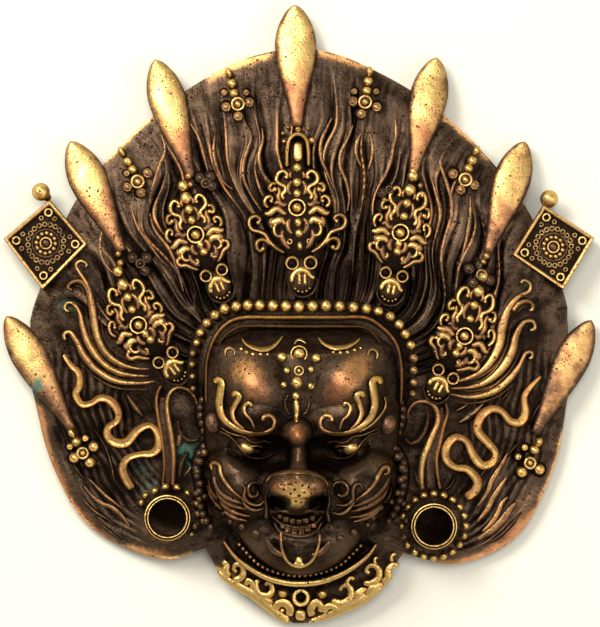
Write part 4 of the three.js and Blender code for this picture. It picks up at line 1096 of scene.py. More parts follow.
class Face:
    """The head: the relief of the face, and what is carved on it."""

    columns: int = 218
    rows: int = 290

    def square_to_egg(self) -> tuple[Array, Array]:
        """X and Y of a square grid spread over the head's outline."""
        a, b = np.meshgrid(np.linspace(-1, 1, self.columns), np.linspace(-1, 1, self.rows))
        u = a * np.sqrt(1 - b * b / 2)
        v = b * np.sqrt(1 - a * a / 2)
        edge = HEAD.edge(np.arctan2(v, u))
        reach = np.hypot(u, v)
        return HEAD.x + (edge[..., 0] - HEAD.x) * reach, HEAD.y + (edge[..., 1] - HEAD.y) * reach

    def skin(self, piece: Casting) -> None:
        """Adds the relief, with the pocket behind it."""
        x, y = self.square_to_egg()
        rim = soft_step(0.985, 1.0, HEAD.share(x, y))
        z = face_top(x, y) * (1 - rim) + (HEAD_EDGE - 0.5) * rim
        bulge = z - blurred(z, 60)
        wear = 0.1 + 0.15 * np.clip(bulge, -0.8, 1.8)
        worn = np.clip(rubbed(x, y, wear, np.full_like(wear, 0.12), FACE_RUBS_AND_PAINTED_SHADE), 0.0, 1.0)
        bm = sheet(np.stack([x, y, z, *worn, np.zeros_like(z)], axis=-1))
        self.close(bm)
        piece.take(bm)

    def close(self, bm: bmesh.types.BMesh) -> None:
        """Takes the edge of the relief down, in under the head and up round the pocket."""
        edges = [edge for edge in bm.edges if edge.is_boundary]
        for share, z, egg in HEAD_TURN:
            made = bmesh.ops.extrude_edge_only(bm, edges=edges)["geom"]
            for vert in (item for item in made if isinstance(item, bmesh.types.BMVert)):
                angle = np.array(math.atan2(vert.co.y - HEAD.y, vert.co.x - HEAD.x))
                vert.co = (*egg.edge(angle, share=share), z)
            edges = [item for item in made if isinstance(item, bmesh.types.BMEdge)]
        bmesh.ops.edgeloop_fill(bm, edges=edges)

    def brows_and_eyes(self, piece: Casting) -> None:
        """Adds flame brows, lids and eyes."""
        for path, widths in zip(BROWS, BROW_WIDTHS):
            piece.strip(path, widths, 2.6, tone=(0.95, 0.9, 0.7, 0.45, 0.35, 0.4), wear=0.88, step=0.6)
        piece.strip(BROW_TAIL, (0.3, 0.6, 0.4), 1.4, tone=0.5, wear=0.7)
        piece.strips(LIDS, (0.4, 0.8, 0.9, 0.8, 0.4), 2.4, tone=(0.5, 0.55, 0.4, 0.1), wear=0.6, step=0.7,
                     profile=Profile.CREST)
        for eye, turn in zip(EYES, (-26, 26)):
            piece.beads([eye], raised(ground, -0.4), high=3.0, tone=0.75, wear=0.66, detail=24, longer=0.74,
                        turn=turn)
        # The black pupils are painted shade of the hollow pupils, with their patina.
        piece.beads(PUPILS, raised(ground, 0.4), high=2.5, longer=0.84, wear=0.02, tone=BLACK, detail=18)
        piece.strips(EYE_RIMS, (0.3, 0.55, 0.4, 0.3), 2.4, raised(ground, 0.6), tone=(0.9, 0.8, 0.4),
                     wear=0.8, step=0.5)

    def forehead(self, piece: Casting) -> None:
        """Adds the crescents, the dots and the jewels down to the nose."""
        piece.strips(CRESCENTS, (0.4, 0.9, 1.2, 0.9, 0.4), 2.2, tone=0.9, step=0.7)
        piece.strips(FOREHEAD_HOOKS, (0.4, 0.7, 0.4), 1.4, tone=0.5, wear=0.65, step=0.6)
        piece.beads(FOREHEAD_DOTS, tone=0.75, wear=0.8)
        for x, y, r in JEWELS:
            piece.bead((x, y), r, high=r * 1.1, tone=GOLD, detail=14)
        piece.bead(OVAL_JEWEL, 2.3, high=2.4, turn=80, detail=14)
        piece.ring(OVAL_JEWEL, 3.1, 0.35, high=0.8, tone=0.8, wear=0.8)
        piece.ring(ROUND_JEWEL, 1.7, 0.35, high=0.8, tone=0.8, wear=0.8)
        piece.bead(ROUND_JEWEL, 0.9, high=1.0)
        piece.strip(JEWEL_ARCH, (0.3, 0.7, 0.3), 1.5, wear=0.8, step=0.6)
        piece.strip(NOSE_COLUMN, (1.1, 1.6, 1.2, 1.0), 2.8, tone=(0.95, 0.95, 0.8), step=0.7)
        piece.strips(NOSE_SIDES, (0.3, 0.5, 0.3), 1.0, tone=0.4, wear=0.5, step=0.6)

    def cheeks(self, piece: Casting) -> None:
        """Adds the flame arcs of the cheeks and the curls beside the nose."""
        wide = (0.8, 1.5, 1.5, 1.2, 0.5)
        for arcs in (CHEEK_ARCS, RIGHT_ARCS):
            for paths, tone, wear in ((arcs[:1], (0.5, 0.5, 0.2, 0.1), 0.72),
                                      (arcs[1:], (0.1, 0.15, 0.05), 0.6)):
                piece.strips(paths, wide, 2.1, tone=tone, wear=wear, step=0.7, profile=Profile.CREST)
        piece.strips(CURLS, (0.8, 1.3, 1.2, 0.6), 2.1, tone=0.25, wear=0.62, step=0.6, profile=Profile.CREST)
        piece.strip(NOSE_CREASE, (0.4, 0.8, 1.0, 0.8, 0.4), 1.3, tone=COPPER, wear=0.56, step=0.7)
        for temple, turn in zip(TEMPLES, (15, -20)):
            piece.beads([temple], raised(ground, 0.4), high=3.4, longer=1.35, turn=turn, tone=BLACK, wear=0.5,
                        detail=20)
        piece.beads(BEARD, high=2.0, tone=DARK, wear=0.4, detail=12)
        for path in SIDE_ROLLS:
            piece.strip(path, (1.4, 2.4, 2.6, 2.6, 1.4), 4.2, DOME.top, tone=0.05, wear=0.1, sunk=1, step=1.2)
            smooth = curve(path)
            for x, y in resampled(smooth, np.arange(1.5, length_of(smooth), 3.1)):
                piece.bead((x, y), 1.75, raised(DOME.top, 3.4), high=2.6, tone=DARK, wear=0.4)
        for x, y, r in SIDE_BEADS:
            foot = 23.2 if value_at(HEAD.share, (x, y)) < 1.07 else raised(DOME.top, 3.6)
            piece.bead((x, y), r * 1.1, foot, high=2.8, tone=COPPER, wear=0.5, detail=12)

    def mouth(self, piece: Casting) -> None:
        """Adds lips and teeth."""
        piece.strips(MOUTH_FOLDS, (0.5, 0.9, 1.2, 1.5), 3.0, tone=(0.3, 0.2, 0.1), wear=0.54, step=0.7,
                     profile=Profile.CREST)
        for path, high in zip(LIPS, (1.6, 2.2, 2.8)):
            piece.strip(path, (0.5, 0.9, 1.0, 0.9, 0.5), high, tone=0.15, wear=0.44, step=0.8, sunk=3)
        for teeth, lift in ((UPPER_TEETH, 0.8), (LOWER_TEETH, 1.4)):
            for x, y, r in teeth:
                square = (x, y) + np.clip((disc((x, y), r, 24) - (x, y)) * 1.3, -r, r)
                piece.moulded(square, [(s, z + lift, w) for s, z, w in TOOTH], ground, tone=COPPER)
        piece.strips(LIP_WINGS, (0.6, 1.5, 1.4, 0.6), 2.0, tone=DARK, wear=0.5, step=0.8)

    def tongue(self, piece: Casting) -> None:
        """Adds the tongue with its rolled edge."""
        left = curve(TONGUE_EDGE)
        root_y, (middle, tip_y) = left[0, 1], left[-1]
        right = left[::-1][1:] * [-1, 1] + [2 * middle, 0]
        right[:, 0] += 0.09 * (right[:, 1] - tip_y)
        outline = evenly(np.vstack([left, right]), 60)
        root = value_at(face_top, (0.0, -85.0)) + 1.5

        def surface(x: Array, y: Array) -> Array:
            """Height of the tongue, which follows the lip and the chin."""
            return np.maximum(root - 0.3 * (root_y - y), face_top(x, y) + 1.2)

        piece.moulded(outline, TONGUE_DISH, surface, tone=COPPER, centre=(middle, root_y - 8))
        piece.strip(outline[::3], (0.6,), 0.8, surface, tone=(0.1, 0.4, 0.9, 0.4, 0.1), wear=0.72, step=0.8)
        piece.bead(TONGUE_TIP, 1.5, surface, high=1.4, longer=1.3, detail=12)
        piece.bead((TONGUE_TIP[0], TONGUE_TIP[1] - 1.4), 2.2, surface, high=1.0, longer=0.6, detail=12)

    def build(self, material: Material) -> Thing:
        """Builds the head."""
        piece = Casting("face")
        for add in (self.skin, self.brows_and_eyes, self.forehead, self.cheeks, self.mouth, self.tongue):
            add(piece)
        piece.beads(PITS, raised(ground, -0.25), larger=1.6, high=0.46, tone=BLACK, wear=0, detail=8)
        return piece.finish(material, 70.0)


# The frame of the forehead

HAIRLINE_BEADS = [
    (-41.8, -29.6, 1.2), (-42, -24.8, 1.28), (-42.2, -20, 1.36), (-41.9, -15.6, 1.36), (-40.4, -11.4, 1.52),
    (-39, -7.4, 1.68), (-36.4, -3.6, 1.84), (-33.2, -0.4, 1.92), (-29.4, 2, 1.92), (-24.8, 3, 1.92),
    (-20.2, 3.4, 2), (-15.4, 3.4, 2), (-10.2, 3.2, 2.08), (-5, 3, 2.08), (0.2, 2.8, 2.16), (5.6, 3, 2.08),
    (11, 3.2, 2.08), (16.4, 3, 2), (21.8, 2.6, 2), (27, 2, 1.92), (31.8, 1, 1.92), (36.4, -1, 1.92),
    (40, -4.2, 1.92), (42.4, -8, 1.92), (44.6, -12.4, 1.84), (45.8, -17.6, 1.76), (45.8, -22.4, 1.68),
    (45.8, -27.2, 1.6), (45.4, -31.6, 1.44),
]
HAIRLINE_OUTER = [
    (-36.6, -35.2), (-36.6, -26.4), (-36.2, -18.4), (-33.4, -9.6), (-28.2, -3.6), (-21.4, -1.4),
    (-10.2, -1.4), (3.4, -1.4), (16.6, -1.4), (26.6, -1.6), (33.4, -5.6), (38.6, -11.6), (40.6, -19.2),
    (41, -27.2), (40.6, -35.2),
]
HAIRLINE_INNER = [
    (-35.4, -26.4), (-34.2, -19.2), (-30.6, -10.4), (-25.4, -6), (-20.2, -4.8), (-0.2, -5), (16.6, -5),
    (26.6, -5.6), (31.8, -10.4), (36.6, -17.2), (37.4, -22.4),
]


class Hairline:
    """The double ridge round the forehead, and the row of beads outside it."""

    shelf: float = 24.6
    # Distance out from the head, height over the shelf and wear of each line of the frame
    section: tuple[Triple, ...] = ((-4.5, -12.6, 0.0), (-4.5, -0.2, 0.1), (-3.4, 0.6, 0.1), (1.2, 0.4, 0.1),
                                   (2.2, -0.8, 0.0), (5.6, -1.2, 0.1), (6.6, -2.4, 0.15), (7.0, -12.6, 0.0))

    def build(self, material: Material) -> Thing:
        """Builds the frame of the forehead."""
        piece = Casting("hairline")
        angles = np.linspace(-0.2, math.pi + 0.2, 96)
        standing = soft_step(0.0, 0.5, np.minimum(angles + 0.2, math.pi + 0.2 - angles))[:, None]
        rows = []
        for out, high, _ in self.section:
            spot = HEAD.edge(angles, out)
            if out > 0:
                spot = HEAD.edge(angles) * (1 - standing) + spot * standing
            rows.append(stood(spot, self.shelf + high))
        points = np.stack(rows, axis=1)
        points[..., 2] = points[..., 2] * standing + np.minimum(points[..., 2], 15.0) * (1 - standing)
        points[0] = points[0].mean(axis=0)
        points[-1] = points[-1].mean(axis=0)
        piece.grid(points, [worn for _, _, worn in self.section], DARK)
        base = level(self.shelf)
        piece.strip(HAIRLINE_OUTER, (0.9, 1.3, 1.5, 1.6, 1.5, 1.4, 0.9), 3.2, base,
                    tone=(0.05, 0.3, 0.9, 0.8, 0.35, 0.15, 0.05), wear=0.74, sunk=8, profile=Profile.CREST)
        piece.strip(HAIRLINE_INNER, (0.4, 0.9, 1.1, 0.9, 0.4), 3.4, base, tone=(0.1, 0.4, 0.6, 0.4, 0.1),
                    wear=0.8, sunk=8, profile=Profile.CREST)
        for x, y, r in HAIRLINE_BEADS:
            tone, wear = (GOLD, 0.92) if y > -14 else (WARM, 0.6)
            foot = self.shelf - (0.8 if y > -22 else 1.4) if y > -30 else raised(DOME.top, 2.0)
            piece.bead((x, y), r * 1.1, foot, high=2.9, longer=1.14 if y > 1 else 1.0, tone=tone, wear=wear,
                       detail=14)
        return piece.finish(material)


# Blades


@dataclass(frozen=True)
class Blade:
    """A long leaf that swells towards its tip: both ends of its middle line, its width, and how golden it is
    painted, lower on blades that catch less light: painted light.
    """

    base: Point
    tip: Point
    width: float
    # golden is painted light: below 1 a blade is painted darker and more coppery, as if less light fell on
    # it.
    golden: float = 1.0

    swell: Trace = ((0, 0.27), (0.14, 0.41), (0.31, 0.66), (0.48, 0.89), (0.6, 0.99), (0.7, 1.0),
                    (0.82, 0.84), (0.92, 0.53), (0.975, 0.26), (1.0, 0.0))
    height: float = 5.6
    underside: float = 2.6

    def build(self, piece: Casting) -> None:
        """Adds the blade."""
        base, tip = np.array(self.base), np.array(self.tip)
        t = np.concatenate([np.linspace(0, 0.9, 34), 1 - 0.1 * np.cos(np.linspace(0.25, math.pi / 2, 9))])
        knots = curve(self.swell)
        share = np.interp(t, knots[:, 0], knots[:, 1])
        share[-1] = 0.0
        line = base + (tip - base) * t[:, None]
        along = (tip - base) / np.hypot(*(tip - base))
        angle = np.linspace(0, 2 * math.pi, 28, endpoint=False)
        across = np.cos(angle)
        up = np.sign(np.sin(angle)) * np.abs(np.sin(angle)) ** 0.62
        reach = across * (self.width / 2 * share)[:, None]
        foot = DOME.top(line[:, 0], line[:, 1])
        high = foot + self.height * (0.5 + 0.5 * share) * (1 - 0.3 * t) * np.minimum(1, share * 6) ** 0.5
        low = np.maximum(self.underside, foot - 2.5)
        middle = low + (high - low) * 0.4
        x = line[:, :1] - along[1] * reach
        y = line[:, 1:] + along[0] * reach
        z = middle[:, None] + np.where(up > 0, up * (high - middle)[:, None], up * (middle - low)[:, None])
        z[-1] = middle[-1]
        z[0] = middle[0] + (z[0] - middle[0]) * 0.7
        worn = np.clip(0.4 + 0.53 * up, 0.1, 0.93) * (0.74 + 0.26 * soft_step(0.08, 0.5, t))[:, None]
        # Wear falls with golden: painted shade on the blades that catch less light.
        worn = worn * (0.5 + 0.5 * self.golden)
        blotch = (np.sin(x * 0.31 + 1.3 * np.sin(y * 0.17) + base[0])
                  * np.sin(y * 0.21 + 1.5 * np.sin(x * 0.23) + base[1]))
        worn = worn - 0.1 * soft_step(0.15, 0.85, blotch) - 0.1 * soft_step(0.55, 1.0, np.abs(across))
        worn = np.clip(worn, 0, 1)
        # Tone falls with golden too, so the painted shade also turns the blade more coppery.
        tone = 0.16 + 0.82 * self.golden * soft_step(0.16, 0.66, t)[:, None] - 0.4 * np.abs(across) ** 3
        tone = np.clip(tone - 0.35 * soft_step(0.1, 0.9, np.abs(blotch)), 0, 1)
        points = np.stack([x, y, z], axis=-1)
        root = np.broadcast_to(points[0].mean(axis=0), points[:1].shape)
        green = greened(points)
        worn, tone, green = (np.concatenate([values[:1], values]) for values in (worn, tone, green))
        piece.grid(np.concatenate([root, points]), worn, tone, green=green)


# The last number of each blade is painted light: the blades turned away from the light are painted darker.
BLADES = (
    Blade((-0.6, 75), (-1.4, 124), 16.4),
    Blade((-43, 54.6), (-57.4, 102), 15, 0.9),
    Blade((45.8, 56.6), (55.4, 102.8), 15, 0.9),
    Blade((-70.4, 25), (-91.4, 69.2), 15.4, 0.84),
    Blade((75.4, 24.2), (90.6, 69.2), 14.8, 0.86),
    Blade((-90.4, -46.2), (-117, -0.8), 14.4, 0.68),
    Blade((94.6, -47.8), (117.4, -2.4), 14, 0.5),
)


# Crests with skulls


@dataclass(frozen=True)
class Scroll:
    """A scroll of a crest's right half, across and up from the boss: path, half-widths, tone and knob."""

    path: Trace
    widths: tuple[float, ...]
    tone: float
    knob: float = 0.0


SCROLLS = (
    Scroll(((4.2, 12.2), (4, 13.4), (5.6, 14.7), (7.6, 13.5), (8.2, 10.9), (6.6, 9.3), (4.8, 8.4),
            (4.7, 6.7), (6, 5), (5, 3)), (0.7, 0.75, 0.8, 0.8, 0.9, 0.8), 0.8, 1.1),
    Scroll(((8.8, 7.2), (10.2, 6.6), (11, 7.9), (9.9, 9.7), (8.3, 9.4)), (0.7, 0.7, 0.5), 0.85, 1.25),
    Scroll(((7.6, 8.4), (6.9, 6.3), (7.6, 4.3), (6.6, 1.8)), (0.5, 0.9, 1, 0.7), 0.3),
    Scroll(((10.2, 2.6), (9.7, 3.8), (10.9, 4.6), (12.6, 3.5), (12.8, 1.4), (11.3, 0)), (0.6, 0.75, 0.6),
           0.75, 1),
    Scroll(((4.2, -2.8), (5.7, -1.9), (7.7, -0.4), (9.6, -1.2), (11.4, -2.5), (13.1, -1.9)),
           (0.7, 1.2, 1.3, 1.3, 0.6), 0.55),
    Scroll(((4.6, -7), (6.3, -4.9), (8.6, -5.5), (11.4, -6.6)), (0.7, 1.4, 1.5, 0.9), 0.7),
    Scroll(((8.8, -6.8), (9.4, -8.8), (8.6, -10.9), (7, -11.5), (6.4, -10.6)), (0.7, 0.75, 0.6), 0.85, 1),
    Scroll(((15.6, -5.8), (14.7, -4.4), (16.6, -3.2), (18.8, -4.2), (19.2, -6.5), (17.9, -8.6),
            (15.4, -9.4), (12.9, -10.6), (11.4, -13.3), (8.6, -16.1), (5.3, -18.2)),
           (0.6, 0.7, 0.75, 0.75, 0.5), 0.6, 1),
    Scroll(((13.9, -16.3), (14.9, -17.2), (16.2, -16.1), (16.4, -13.8), (14.9, -12.6), (12.6, -13.1),
            (10.9, -15)), (0.6, 0.7, 0.5), 0.7, 1.1),
)
# Darker leaves between the scrolls
LEAVES = (
    Scroll(((2, 10.8), (3.2, 9.2), (3.6, 7), (2.4, 4.8)), (0.5, 1, 1, 0.5), 0.2),
    Scroll(((3.8, 1.9), (5.4, 0.9), (7.6, 2.2), (9.2, 1.2)), (0.6, 1.2, 1.2, 0.5), 0.12),
    Scroll(((2.4, -4.2), (3.8, -6), (3.6, -8.6), (2.2, -10.8)), (0.6, 1.1, 1.1, 0.6), 0.22),
    Scroll(((5.8, -8.6), (6.2, -11.6), (5, -14.4), (3.2, -16.8)), (0.6, 1.2, 1.2, 0.5), 0.1),
    Scroll(((2.1, 14.6), (2.9, 13), (2.3, 11.6)), (0.4, 0.8, 0.5), 0.25),
    Scroll(((9.4, -3.8), (10.6, -5.2), (10.2, -8.4)), (0.5, 1, 0.6), 0.15),
)
# Scrolls that only a smaller crest has, in place of its widest two
SMALL_SCROLLS = (
    Scroll(((10.6, -8.6), (12.2, -9.6), (11.8, -12.4), (9, -13.6), (7, -16), (4.6, -18.4)),
           (0.7, 0.9, 0.8, 0.5), 0.4, 1.2),
    Scroll(((4.4, -12.2), (3.2, -13.6), (4.6, -15.2), (6.2, -13.9)), (0.6, 0.8, 0.6), 0.5),
)
# The plate behind the scrolls, and the long jewel and its arch on the tallest crest
PLATE = (
    (3.6, 28), (3.6, 17), (6.6, 13.2), (8.2, 8), (9.4, 2.5), (9.6, -3), (11, -7), (11, -12), (6.4, -17.4),
    (3.5, -21),
)
SHORT_PLATE = ((2.4, 20), (3.4, 15), *PLATE[2:])
ARCH = ((-4.0, 16.3), (-3.95, 23), (-2.9, 27.6), (0.3, 29.6), (3.5, 27.6), (4.5, 23), (4.6, 16.6))
LONG_JEWEL = ((0.3, 18.3), (0.3, 21), (0.3, 24), (0.3, 26.4))
# The skull below: nose and jaw
SKULL_NOSE = ((-2.9, -30.2), (-2.5, -27.6), (-0.8, -25.8), (1.3, -25.1), (3.4, -25.8), (4.9, -27.8),
              (6.6, -28.6))
SKULL_JAW = ((-4.2, -28.4), (-3.7, -32.4), (-0.8, -35.4), (2.3, -35.9), (5.2, -34.6), (7.1, -31.4),
             (7.2, -28.2))


@dataclass(frozen=True)
class Crest:
    """A crest of scrolls and beads over a skull: its top, boss and skull, and its width."""

    top: Point
    boss: Point
    skull: Point
    width: float
    arched: bool = False

    lift: float = 1.6
    up_length: float = 20.0
    down_length: float = 27.0
    short_down: float = 0.74

    def place(self, u: float, v: float) -> Point:
        """A point so far across and up from the boss, in the crest's own millimetres."""
        up = np.array(self.top) - self.boss
        down = np.array(self.boss) - self.skull
        if v > 0:
            along = v * np.hypot(*up) / (30.0 if self.arched else self.up_length)
        elif self.arched:
            along = v * np.hypot(*down) / self.down_length
        else:
            along = v * self.short_down if v > -20 else -20 * self.short_down + (v + 20) * 0.92
        blend = min(1.0, max(0.0, 0.5 + v / 12))
        line = (up / np.hypot(*up)) * blend + (down / np.hypot(*down)) * (1 - blend)
        line /= np.hypot(*line)
        across = np.array([line[1], -line[0]])
        shrink = self.width if v > -19 else min(1.0, self.width + 0.06)
        spot = np.array(self.boss) + line * along + across * u * shrink
        return float(spot[0]), float(spot[1])

    def trace(self, path: Trace) -> Trace:
        """A path laid out by the crest."""
        return [self.place(u, v) for u, v in path]

    def build(self, piece: Casting) -> None:
        """Adds the crest."""
        half = PLATE if self.arched else SHORT_PLATE
        ring = self.trace([*half, *((-u, v) for u, v in reversed(half)), half[0]])
        slab = ((0, self.lift, 0), (0.5, self.lift, 0), (0.9, self.lift - 0.2, 0),
                (1.0, self.lift - 0.9, 0.06), (1.03, -1.5, 0), (0, -1.5, 0))
        piece.moulded(evenly(np.array(ring), 90, True), slab, DOME.top, tone=DARK)
        base = raised(DOME.top, self.lift - 0.3)
        for scroll in (*LEAVES, *SCROLLS) if self.arched else (*LEAVES, *SCROLLS[:7], *SMALL_SCROLLS):
            for side in (-1, 1):
                points = self.trace([(side * u, v) for u, v in scroll.path])
                broad = [1.15 * w for w in scroll.widths]
                piece.strip(points, [w + 0.7 for w in broad], 1.9, DOME.top, tone=DARK, wear=0.2, step=1.3)
                piece.strip(points, broad, 2.2, base, tone=scroll.tone, wear=0.5 + 0.46 * scroll.tone,
                            step=0.8)
                if scroll.knob:
                    piece.bead(points[0], scroll.knob * self.width, base, high=2.5, tone=0.9, wear=0.86,
                               detail=8)
        boss = self.place(0, 0)
        piece.ring(boss, 3.2, 0.5, base, high=2.6, tone=0.9, sides=28)
        piece.bead(boss, 2.1, base, high=2.9, detail=16)
        if self.arched:
            piece.strip(self.trace(ARCH), (0.75, 0.9, 0.95, 0.9, 0.75), 2.8, base, tone=GOLD, step=0.7)
            piece.strip(self.trace(LONG_JEWEL), (1.5, 1.9, 1.8, 1.3), 2.8, base, tone=GOLD, step=0.7,
                        profile=Profile.BAND)
        upper = ((15.9, 2.05),) if self.arched else ((14.6, 2.6), (19.4, 2.4))
        for v, r in ((5.6, 1.9), (10.0, 2.05), *upper):
            piece.bead(self.place(0, v), r, base, high=2.9, detail=14)
        piece.bead(self.place(0.3, -6.0), 1.7, base, high=2.4, longer=1.2, tone=0.85, detail=12)
        piece.bead(self.place(0.6, -10.4), 1.9, base, high=2.3, tone=0.85, detail=12)
        if self.arched:
            piece.bead(self.place(0.8, -15.6), 1.3, base, high=2.2, longer=1.6, tone=0.8, detail=12)
            for u in (-3.2, 4.6):
                piece.ring(self.place(u, -13.6), 0.85, 0.35, base, high=1.6, tone=WARM, wear=0.8, sides=12)
        self.bone(piece)

    def bone(self, piece: Casting) -> None:
        """Adds the skull: brow, eye rings, nose, teeth and jaw."""
        down = np.array(self.boss) - self.skull
        longer = 1.25 * max(0.85, np.hypot(*down) / self.down_length)
        piece.bead(self.place(1.0, -28), 6.3 * self.width, DOME.top, high=5.4, longer=longer, tone=DARK,
                   wear=0.25, turn=math.degrees(math.atan2(-down[0], down[1])), detail=24)
        base = raised(DOME.top, 4.2)
        for u in (-2.4, 4.9):
            eye = self.place(u, -22.3)
            piece.bead(eye, 3.1 * self.width, raised(base, -1.2), high=1.9, tone=DARK, wear=0.15, detail=16)
            piece.ring(eye, 2.4 * self.width, 0.5, base, high=1.5, tone=WARM, wear=0.66, sides=22)
            lid = [(u - 2.2, -23.0), (u - 1.7, -20.9), (u, -20.0), (u + 1.7, -20.9), (u + 2.2, -23.0)]
            piece.strip(self.trace(lid), (0.3, 0.6, 0.7, 0.6, 0.3), 2.2, base, tone=0.9, wear=0.85, step=0.7)
            # This black bead stands for the hollow of the eye socket: painted shade of the hole, with its
            # patina.
            piece.bead(eye, 1.9 * self.width, base, high=0.9, tone=BLACK, wear=0.0, detail=12)
        piece.strip(self.trace(SKULL_NOSE), (1.0, 1.1, 1.6, 1.1, 0.8), 2.2, base, tone=GOLD, step=0.6)
        for u in (0.3, 2.5):
            fang = self.trace([(u, -26.4), (u, -28.8), (u + 0.1, -31.2)])
            piece.strip(fang, (0.9, 0.8, 0.95), 2.1, base, tone=GOLD, step=0.6)
        for k in range(5):
            a = math.radians(-150 + 30 * k)
            tooth = self.place(1.4 + 3.3 * math.cos(a), -31.2 + 2.7 * math.sin(a))
            piece.bead(tooth, 0.65, raised(DOME.top, 3.4), high=1.6, tone=WARM, wear=0.75, detail=6)
        piece.strip(self.trace(SKULL_JAW), (0.3, 0.6, 0.7, 0.6, 0.3), 2.4, raised(DOME.top, 1.2), tone=COPPER,
                    wear=0.48, step=0.7)


CRESTS = (
    Crest((-0.6, 72.2), (-0.6, 42.4), (0, 15.6), 1, True),
    Crest((-46.2, 51.6), (-41, 31.6), (-32.2, 9.6), 0.88),
    Crest((45.8, 55.6), (40.6, 32.4), (35.4, 9.6), 0.88),
    Crest((-72.2, 17.6), (-63.8, -4.4), (-50.6, -22.4), 0.88),
    Crest((73.8, 15.6), (66.2, -8.8), (54.6, -28.4), 0.88),
)


# Drops and small flowers


@dataclass(frozen=True)
class Flower:
    """A flower of beads: its middle, its petals, and a stalk of beads that ends at a point."""

    middle: Point
    petals: Trace
    stalk: Trace
    radius: float = 3.0
    tone: float = 0.75
    wear: float = 0.85
    petal_share: float = 0.5

    def build(self, piece: Casting) -> None:
        """Adds the flower."""
        base = raised(DOME.top, 0.8)
        over = raised(base, 1.9)
        radius, share = self.radius, self.petal_share
        piece.bead(self.middle, radius + 0.4, base, high=2.6, tone=DARK, wear=self.wear * 0.45, detail=20)
        piece.ring(self.middle, radius * 0.8, 0.5, over, high=1.1, tone=self.tone, wear=self.wear, sides=22)
        piece.bead(self.middle, radius * 0.45, over, high=1.6, tone=BRASS, wear=self.wear, detail=12)
        for petal in self.petals:
            size = 2.35 if math.dist(petal, self.middle) < 5.8 else 1.5
            spot = tuple(0.92 * a + 0.08 * b for a, b in zip(petal, self.middle))
            worn = self.wear * (0.42 + 0.52 * share)
            piece.bead(spot, size + 0.8, DOME.top, high=1.2, tone=BLACK, wear=0, detail=16)
            piece.bead(spot, size, base, high=3.0, tone=self.tone * share, wear=worn, detail=16)
            piece.ring(spot, size * 0.6, 0.28, raised(base, 2.1), high=0.8,
                       tone=self.tone * (0.2 + 0.8 * share), wear=worn + 0.04, sides=14)
        for spot in self.stalk:
            size, longer = (1.5, 1.5) if spot is self.stalk[-1] else (2.2, 0.95)
            turn = math.degrees(math.atan2(self.middle[0] - spot[0], spot[1] - self.middle[1]))
            piece.bead(spot, size, base, high=3.1, tone=0.9, wear=self.wear, longer=longer, detail=14,
                       turn=turn)


FLOWERS = (
    Flower((-24.2, 83.8), ((-29.2, 82.4), (-19.2, 84.4), (-24, 78.4), (-30.2, 88.8), (-20.6, 88.8)),
           ((-25.8, 88), (-26.6, 92), (-27.8, 96.4))),
    Flower((26.6, 84.6), ((21.4, 84.8), (31.6, 82.4), (25, 79.4), (21.8, 89.2), (31.4, 89.2)),
           ((27.2, 89), (27.8, 92.8), (28.4, 96.8))),
    Flower((-64.2, 52.8), ((-68.6, 50.4), (-59.8, 56.4), (-62.6, 48), (-69, 56.4)),
           ((-66.2, 57.6), (-68.2, 60.8), (-70.6, 64.8))),
    Flower((66.6, 53.6), ((61.4, 56), (70.6, 51.2), (64.6, 49.2)), ((67.8, 58), (69.4, 61.2), (71, 65.2))),
    Flower((-86.2, -55.6), ((-89.8, -57.6), (-83, -59.6), (-81.4, -52.8), (-91.8, -52.8), (-85, -49.2)),
           ((-88.6, -51.2), (-90.6, -47.6)), 2.6, 0.85, 0.88, 0.9),
    Flower((92.6, -59.6), ((89, -63.6), (87.4, -56.8), (96.6, -62.4), (90.2, -52.8)),
           ((94.2, -54.4), (96.2, -51.2)), 2.6, 0.85, 0.88, 0.9),
    Flower((-37, 52), ((-39.4, 54.4), (-35, 54.8), (-34.2, 50.8)), (), 2, 0.2, 0.45),
    Flower((-63, 20), ((-66.2, 22.4), (-60.2, 22.4), (-61, 16.8)), (), 2, 0.2, 0.4),
    Flower((73, 15.6), ((67.8, 18), (76.6, 13.2), (69.4, 12)), (), 2.4, 0.35, 0.6),
    Flower((36.2, 49.6), ((33, 48),), (), 1.6, 0.2, 0.4),
)
# Beads and curls that end the necks of the blades: middle and radius
NECK_BEADS = [
    (-0.2, 76.8, 1.84), (-0.2, 73.6, 1.44), (-43.8, 55.2, 1.76), (-43, 51.6, 1.36), (45.8, 56.8, 1.92),
    (48.6, 51.2, 1.2), (-71.8, 24, 1.44), (-71, 20.4, 1.6), (75, 23.2, 1.68), (73.8, 20.8, 1.36),
    (-6.2, 72, 0.96), (-5.8, 68.8, 1.04), (5.4, 69.2, 1.6), (-4.2, 74.4, 0.8), (3.8, 74, 0.88),
    (49.4, 47.2, 1.2), (34.2, 45.6, 1.2), (50.2, 43.2, 1.2),
]


# Plaques


